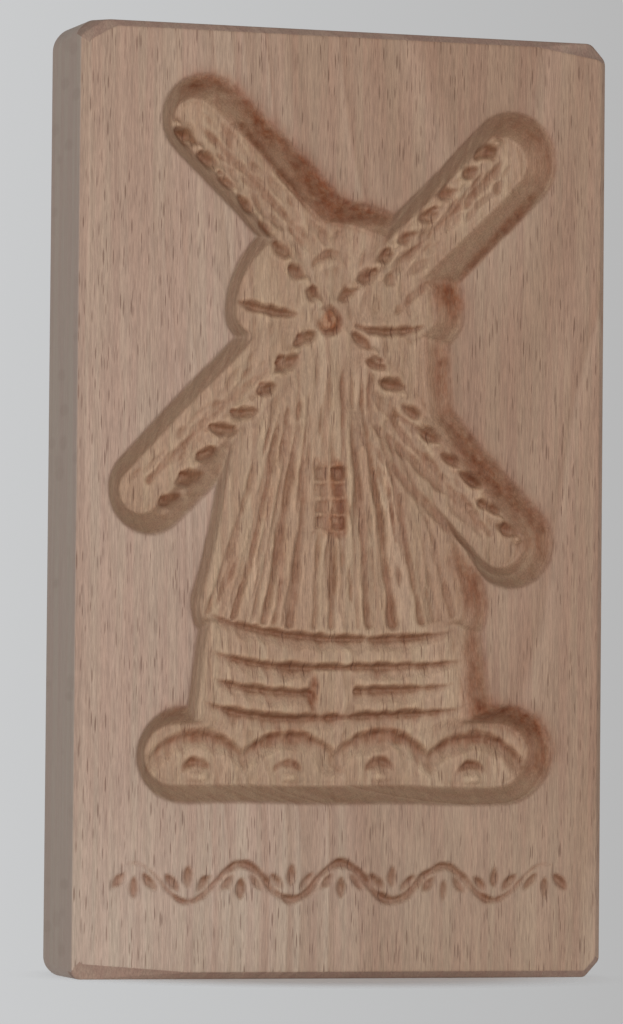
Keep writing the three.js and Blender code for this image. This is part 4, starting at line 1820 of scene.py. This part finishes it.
@dataclass(frozen=True)
class BeechFigure:
    """The grain of a flat-sawn beech plank: growth bands round a far pith, fibres and ray flecks.

    Attributes:
        pith_x, pith_y: where the pith lies, across the board and behind its middle.
        lean: how much the pith comes nearer for each millimetre up the board.
        drift, drift_reach: how the bands wander sideways, and how far in all.
        band, uneven: width of a growth band, and how much the widths differ.
        late_edge: share of a band where its dark wood starts to end.
        wide_within, narrow_from, faint: how far from the pith the bands still show wide, where they
            are narrow, and how strongly they show there.
        fine, streak, streak_share, fibre_span: noise of the fibres and of their streaks, what those
            add, and where the sum is pale and where it is dark.
        broad, broad_span: noise of the redder streaks, and where it is pale and where it is red.
        near_rays, far_rays: the smaller and the larger flecks.
    """

    pith_x: float = 34.0
    pith_y: float = 70.0
    lean: float = 0.05
    drift: Noise = Noise(70.0, 110.0, 1.5)
    drift_reach: float = 22.0
    band: float = 7.0
    uneven: float = 3.0
    late_edge: float = 0.7
    wide_within: float = 40.0
    narrow_from: float = 90.0
    faint: float = 0.3
    fine: Noise = Noise(0.28, 4.0, 3.0, 0.7)
    streak: Noise = Noise(0.8, 26.0)
    streak_share: float = 0.35
    fibre_span: Point = (0.42, 0.94)
    broad: Noise = Noise(2.2, 60.0)
    broad_span: Point = (0.35, 0.65)
    near_rays: Flecks = Flecks(0.6, 7.0, 0.1)
    far_rays: Flecks = Flecks(0.85, 9.0, 0.0)

    def group(self) -> bpy.types.NodeTree:
        """Makes the figure as a node group.

        Returns:
            The group. It reads a place in millimetres.
        """
        shader, inputs, outputs = new_group(
            "beech_figure",
            {"Place": "Vector"},
            {"Band": "Float", "Fibre": "Float", "Tone": "Float", "Ray": "Float"},
        )
        place = inputs.outputs["Place"]
        streaks = shader.noise(place, self.streak)
        fibres = shader.math("MULTIPLY_ADD", streaks, self.streak_share, shader.noise(place, self.fine))
        rays = [flecks.laid(shader, place) for flecks in (self.near_rays, self.far_rays)]
        values = {
            "Band": self.bands(shader, place),
            "Fibre": shader.span(fibres, *self.fibre_span),
            "Tone": shader.span(shader.noise(place, self.broad), *self.broad_span),
            "Ray": shader.math("MAXIMUM", *rays),
        }
        for name, value in values.items():
            shader.feed(outputs.inputs[name], value)
        return shader.tree

    def bands(self, shader: Shader, place: Feed) -> Socket:
        """Lays the growth bands round the pith.

        Args:
            shader: the tree that they are laid in.
            place: in millimetres.

        Returns:
            How dark the wood is there, 0 to 1.
        """
        x, y, z = shader.split(place)
        drift, reach = shader.noise(place, self.drift), self.drift_reach
        across = shader.math("ADD", x, shader.math("MULTIPLY_ADD", drift, reach, -reach / 2 - self.pith_x))
        behind = shader.math("ADD", y, shader.math("MULTIPLY_ADD", z, self.lean, -self.pith_y))
        squared = shader.math("MULTIPLY_ADD", across, across, shader.math("POWER", behind, 2.0))
        years = shader.math("DIVIDE", shader.math("SQRT", squared), self.band)
        inputs = {"W": years, "Scale": 1.0, "Detail": 1.0}
        widths = shader.add("TexNoise", inputs, noise_dimensions="1D").outputs[0]
        grown = shader.math("FRACT", shader.math("MULTIPLY_ADD", widths, self.uneven, years))
        late = shader.math("MULTIPLY", grown, shader.span(grown, 1.0, self.late_edge))
        wide = shader.span(shader.math("ABSOLUTE", across), self.narrow_from, self.wide_within)
        shown = shader.math("MULTIPLY_ADD", wide, 1 - self.faint, self.faint)
        return shader.math("MULTIPLY", late, shown)


@dataclass(frozen=True)
class BeechFinish:
    """How one surface of the board takes the light.

    Attributes:
        light, dark, fleck: colours of the pale and the dark growth bands, and of the ray flecks.
        blush: tint of the redder streaks.
        fleck_weight, fibre_weight: how strongly the flecks and the fibres show.
        roughness, gloss: of the bare wood.
        grain_height, sunk_rays: how far the fibres stand, in millimetres, and how far the flecks lie in
            against that.
    """

    name: str
    light: Colour
    dark: Colour
    fleck: Colour
    blush: Colour = (0.98, 0.92, 0.93)
    fleck_weight: float = 0.8
    fibre_weight: float = 0.36
    roughness: float = 0.62
    gloss: float = 0.35
    grain_height: float = 0.05
    sunk_rays: float = -0.7

    def material(self, figure: bpy.types.NodeTree) -> bpy.types.Material:
        """Makes the finish as a material.

        Args:
            figure: the wood's figure, as a node group.

        Returns:
            The material.
        """
        material = bpy.data.materials.new(self.name)
        material.use_nodes = True
        shader = Shader(material.node_tree)
        grain = shader.add("Group", node_tree=figure)
        shader.feed(grain.inputs["Place"], shader.millimetres())
        sunk = shader.math("MULTIPLY", grain.outputs["Ray"], self.sunk_rays)
        height = shader.math("ADD", grain.outputs["Fibre"], sunk)
        colour, height = self.worked(shader, self.wood(shader, grain), height)
        bump = shader.add("Bump", {"Height": height, "Distance": self.grain_height * MM})
        surface = material.node_tree.nodes["Principled BSDF"]
        for socket, value in (
            ("Base Color", colour),
            ("Roughness", self.roughness),
            ("Specular IOR Level", self.gloss),
            ("Normal", bump.outputs[0]),
        ):
            shader.feed(surface.inputs[socket], value)
        return material

    def wood(self, shader: Shader, grain: bpy.types.Node) -> Socket:
        """Colours the bare wood.

        Args:
            shader: the material's tree.
            grain: the figure's node in it.

        Returns:
            The colour.
        """
        bands = shader.mix(grain.outputs["Band"], self.light, self.dark)
        bands = shader.tinted(grain.outputs["Tone"], bands, self.blush)
        weight = self.fibre_weight
        shade = shader.math("MULTIPLY_ADD", grain.outputs["Fibre"], -weight, 1 + weight / 2)
        fibres = shader.times(bands, shader.grey(shade))
        return shader.mix(self.fleck_share(shader, grain.outputs["Ray"]), fibres, self.fleck)

    def fleck_share(self, shader: Shader, ray: Feed) -> Socket:
        """How much of the fleck colour shows at each spot."""
        return shader.math("MULTIPLY", ray, self.fleck_weight)

    def worked(self, shader: Shader, colour: Feed, height: Feed) -> tuple[Feed, Feed]:
        """The colour and the height that tools left on the wood, which here are its own."""
        return colour, height


@dataclass(frozen=True, kw_only=True)
class CarvedFinish(BeechFinish):
    """The face and the carving in it. A span is where a tint starts and where it is full.

    Attributes:
        sheen_falloff, sheen_falloff_right, sheen_falloff_up, sheen_falloff_top: painted sheen, a darker
        tint that the face takes on towards its right side and its top, so that the rest looks lit by
        a broad sheen; its spans, and how much the top counts.
        foot, foot_span: tint of the face near its foot.
        floor, sloped, crossing: tints inside the recesses, which are partly painted shade from light
        bouncing in the hollows, of their walls, and of walls across the grain.
        torn, torn_and_shaded_least: tint of torn lips, which on the lips that face down and
        to the left is also painted shade, and how strongly it shows between their patches.
        cut, cut_least, cut_patches: painted shade, a tint at the bottom and on the upper side of small
        cuts, how strongly it shows, and what patches add.
        ridge: painted highlight, a lighter tint of what stands between them.
        patches, patch_span: noise of the torn spots.
        fuzz, speckle, fuzz_height: noise of the fibres' ends inside the recesses, how strongly they
            show, and how far they stand against the grain.
        bare_walls: how far the flecks fade on walls.
    """

    sheen_falloff: Colour
    sheen_falloff_right: Point = (-45.0, 45.0)
    sheen_falloff_up: Point = (110.0, 230.0)
    sheen_falloff_top: float = 0.6
    foot: Colour
    foot_span: Point = (60.0, 6.0)
    floor: Colour
    sloped: Colour
    crossing: Colour
    torn: Colour
    cut: Colour
    ridge: Colour
    patches: Noise = Noise(1.6, 3.2, 3.0, 0.6)
    patch_span: Point = (0.3, 0.7)
    torn_and_shaded_least: float = 0.55
    cut_least: float = 0.6
    cut_patches: float = 0.8
    fuzz: Noise = Noise(0.35, 1.4, 3.0, 0.7)
    speckle: float = 0.5
    fuzz_height: float = 2.4
    bare_walls: float = -0.8

    def fleck_share(self, shader: Shader, ray: Feed) -> Socket:
        """How much of the fleck colour shows: little of it on walls."""
        kept = shader.math("MULTIPLY_ADD", shader.mask("wall"), self.bare_walls, 1.0)
        return shader.math("MULTIPLY", super().fleck_share(shader, ray), kept)

    def worked(self, shader: Shader, colour: Feed, height: Feed) -> tuple[Feed, Feed]:
        """Tints the wood by how each spot was cut, and roughens it there.

        Args:
            shader: the material's tree.
            colour, height: of the bare wood.

        Returns:
            The new colour, with painted sheen, shade and highlights, and the new height.
        """
        carved, wall, crossing, torn, cut, ridge = (shader.mask(name) for name in BoardMesh.MASKS)
        place = shader.millimetres()
        patches, fuzz = (shader.noise(place, noise) for noise in (self.patches, self.fuzz))
        across, _, up = shader.split(place)
        # Painted sheen: the face is tinted darker and yellower towards its right and its top, away from a
        # sheen on its left.
        upward, rightward = shader.span(up, *self.sheen_falloff_up), shader.span(across, *self.sheen_falloff_right)
        sheen_falloff = shader.math("MULTIPLY_ADD", upward, self.sheen_falloff_top, rightward)
        sheen_falloff = shader.math("MULTIPLY", sheen_falloff, shader.math("SUBTRACT", 1.0, carved))
        spots = shader.span(patches, *self.patch_span)
        blotched = shader.math("MULTIPLY_ADD", spots, 1 - self.torn_and_shaded_least, self.torn_and_shaded_least)
        uneven = shader.math("MULTIPLY_ADD", patches, self.cut_patches, self.cut_least)
        for share, tint in (
            # painted sheen
            (sheen_falloff, self.sheen_falloff),
            (shader.span(up, *self.foot_span), self.foot),
            # partly painted shade inside the recesses
            (carved, self.floor),
            (wall, self.sloped),
            (crossing, self.crossing),
            # torn grain, with painted shade on the lips that face down and to the left
            (shader.math("MULTIPLY", torn, blotched), self.torn),
            # painted shade in the small cuts
            (shader.math("MULTIPLY", cut, uneven), self.cut),
            # painted highlight between the cuts
            (ridge, self.ridge),
        ):
            colour = shader.tinted(share, colour, tint)
        spotted = shader.math("MULTIPLY_ADD", fuzz, self.speckle, 1 - self.speckle / 2)
        colour = shader.tinted(carved, colour, shader.grey(spotted))
        roughened = shader.math("MULTIPLY", shader.math("MAXIMUM", carved, cut), fuzz)
        return colour, shader.math("MULTIPLY_ADD", roughened, self.fuzz_height, height)


# Studio


@dataclass(frozen=True)
class Camera:
    """The photograph's camera, as fitted to the board's edges.

    Attributes:
        lens: focal length in millimetres.
        sensor: what the picture's long side has on it, in millimetres.
        yaw, pitch, roll: turn of the board before the camera, in degrees.
        shift: the middle of the face in the camera's own axes, which point right, up and backwards.
    """

    lens: float = 211.6
    sensor: float = 36.0
    yaw: float = 19.79
    pitch: float = -2.215
    roll: float = -0.51
    shift: Place = (7.93, 2.05, -1395.5)

    def build(self) -> None:
        """Adds the camera and makes it the scene's."""
        data = bpy.data.cameras.new("photo_camera")
        data.lens, data.sensor_width, data.sensor_height = self.lens, self.sensor, self.sensor
        data.sensor_fit = "AUTO"
        roll, pitch, yaw = (
            Matrix.Rotation(math.radians(angle), 4, axis)
            for angle, axis in ((self.roll, "Z"), (self.pitch, "X"), (self.yaw, "Y"))
        )
        to_camera = Matrix.Translation(Vector(self.shift) * MM) @ (roll @ pitch @ yaw)
        stood_up = Matrix.Translation(Vector(face_middle())) @ Matrix.Rotation(math.pi / 2, 4, "X")
        camera = linked("photo_camera", data)
        camera.matrix_world = stood_up @ to_camera.inverted()
        bpy.context.scene.camera = camera


@dataclass(frozen=True)
class Studio:
    """A pale floor, a pale surround and a soft lamp.

    Attributes:
        surround_left, surround_right, surround_span: colour behind the board, from one side of the view
            to the other, and between which eastward directions it changes.
        ambient_above, ambient_below, ambient_span: the light from all round, and between which upward
            directions it changes.
        floor_size_m: length of the floor's sides.
        fade_from, fade_to: how far from the board the floor starts to fade and is gone.
        key_strength: share of the face's light that the lamp gives.
        key_from, key_distance_m, key_size_m: direction of the lamp, seen from the board, how far off it
            hangs, and its diameter.
    """

    surround_left: Colour = srgb(202, 203, 204)
    surround_right: Colour = srgb(182, 182, 182)
    surround_span: Point = (0.285, 0.39)
    ambient_above: Colour = (0.34, 0.35, 0.36)
    ambient_below: Colour = (0.62, 0.63, 0.64)
    ambient_span: Point = (-0.7, 0.7)
    floor_colour: Colour = srgb(234, 234, 234)
    floor_size_m: float = 6.0
    fade_from: float = 30.0
    fade_to: float = 75.0
    key_strength: float = 0.6
    key_colour: Colour = (1.0, 0.97, 0.93)
    key_from: Place = (-0.3, -1.0, 0.06)
    key_distance_m: float = 1.5
    key_size_m: float = 0.3

    def build(self) -> None:
        """Adds the surround, the floor and the lamp."""
        self.surround()
        self.floor()
        self.key()

    def surround(self) -> None:
        """Sets the world: pale where it is seen, and even light elsewhere."""
        world = bpy.data.worlds.new("pale_surround")
        bpy.context.scene.world = world
        world.use_nodes = True
        world.node_tree.nodes.clear()
        shader = Shader(world.node_tree)
        east, _, upward = shader.split(shader.add("TexCoord").outputs["Generated"])
        share = shader.span(east, *self.surround_span, smooth=False)
        behind = shader.mix(share, self.surround_left, self.surround_right)
        ambient = shader.mix(shader.span(upward, *self.ambient_span), self.ambient_below, self.ambient_above)
        lit, seen = (shader.add("Background", {"Color": colour}) for colour in (ambient, behind))
        path = shader.add("LightPath").outputs
        looked_at = shader.math("MAXIMUM", path["Is Camera Ray"], path["Is Glossy Ray"])
        looked_at = shader.math("MAXIMUM", looked_at, path["Is Transmission Ray"])
        shader.add("OutputWorld", {"Surface": shader.either(looked_at, lit, seen)})

    def floor(self) -> None:
        """Lays the floor, which fades into the surround away from the board."""
        half = self.floor_size_m / 2
        mesh = bpy.data.meshes.new("studio_floor")
        corners = [(-half, -half, 0), (half, -half, 0), (half, half, 0), (-half, half, 0)]
        mesh.from_pydata(corners, [], [(0, 1, 2, 3)])
        floor = linked("studio_floor", mesh)
        material = bpy.data.materials.new("studio_floor")
        material.use_nodes = True
        material.node_tree.nodes.clear()
        shader = Shader(material.node_tree)
        away = shader.add("VectorMath", {0: shader.add("TexCoord").outputs["Object"]}, operation="LENGTH")
        faded = shader.span(away.outputs["Value"], self.fade_from * MM, self.fade_to * MM)
        matt = shader.add("BsdfDiffuse", {"Color": self.floor_colour})
        gone = shader.add("BsdfTransparent")
        shader.add("OutputMaterial", {"Surface": shader.either(faded, matt, gone)})
        mesh.materials.append(material)

    def key(self) -> None:
        """Hangs a soft lamp before the board, beside the camera and a little above it."""
        low, high = CAD_BOX
        middle = (Vector(low) + Vector(high)) / 2
        out = Vector(self.key_from).normalized()
        data = bpy.data.lights.new("key_lamp", "AREA")
        data.shape, data.size = "DISK", self.key_size_m
        data.energy = self.key_strength * math.pi ** 2 * self.key_distance_m ** 2
        data.color = self.key_colour
        lamp = linked("key_lamp", data)
        lamp.location = middle + out * self.key_distance_m
        lamp.rotation_euler = out.to_track_quat("Z", "Y").to_euler()


@dataclass(frozen=True)
class Board:
    """The whole board: its figure, its finishes, and the plain margins round the relief.

    Attributes:
        figure, wood: what is carved, and the beech's grain.
        face: finish of the carved face with its bevels.
        edge: finish of the long sides and the back.
        end: finish of the two ends.
        side_margins, end_margins: width of both sides' and of both ends' plain wood together.
    """

    figure: Figure = Figure()
    wood: BeechFigure = BeechFigure()
    face: CarvedFinish = CarvedFinish(
        name="beech_carved_face",
        light=srgb(166, 143, 126),
        dark=srgb(148, 121, 103),
        fleck=srgb(108, 80, 66),
        # painted sheen: darker and yellower towards the right and the top of the face
        sheen_falloff=(0.88, 0.825, 0.755),
        foot=(1.12, 1.2, 1.24),
        # partly painted shade: warmer and a little darker inside the recesses
        floor=(0.975, 0.935, 0.825),
        sloped=(0.99, 0.96, 0.965),
        crossing=(0.85, 0.83, 0.79),
        # torn grain, and painted shade on the lips that face down and to the left
        torn=(0.62, 0.31, 0.175),
        # painted shade in the small cuts
        cut=(0.63, 0.47, 0.37),
        # painted highlight between the cuts
        ridge=(1.2, 1.22, 1.2),
    )
    edge: BeechFinish = BeechFinish(
        "beech_long_edge",
        light=srgb(166, 149, 135),
        dark=srgb(160, 143, 129),
        fleck=srgb(140, 118, 104),
        fleck_weight=0.4,
        fibre_weight=0.14,
    )
    end: BeechFinish = BeechFinish(
        "beech_end_grain",
        light=srgb(148, 124, 109),
        dark=srgb(130, 106, 93),
        fleck=srgb(170, 146, 126),
        fleck_weight=0.3,
        roughness=0.75,
    )
    side_margins: float = 8.0
    end_margins: float = 12.0

    def build(self) -> None:
        """Carves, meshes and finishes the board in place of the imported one."""
        grain = self.wood.group()
        finishes = {Side.FACE: self.face, Side.EDGE: self.edge, Side.END: self.end}
        materials = {side: finish.material(grain) for side, finish in finishes.items()}
        blank = Blank.from_frame()
        relief = Relief(blank.width - self.side_margins, blank.height - self.end_margins)
        board = BoardMesh(blank, relief, self.figure.carve(relief)).build(materials)
        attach(board, "root")
        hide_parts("board")
        log.info("%s: %d faces", board.name, len(board.data.polygons))


def main() -> None:
    """Builds the scene: camera, studio and board."""
    logging.basicConfig(level=logging.INFO, format="%(name)s: %(message)s")
    bpy.context.scene.view_settings.view_transform = "Standard"
    Camera().build()
    Studio().build()
    Board().build()


if __name__ == "__main__":
    main()
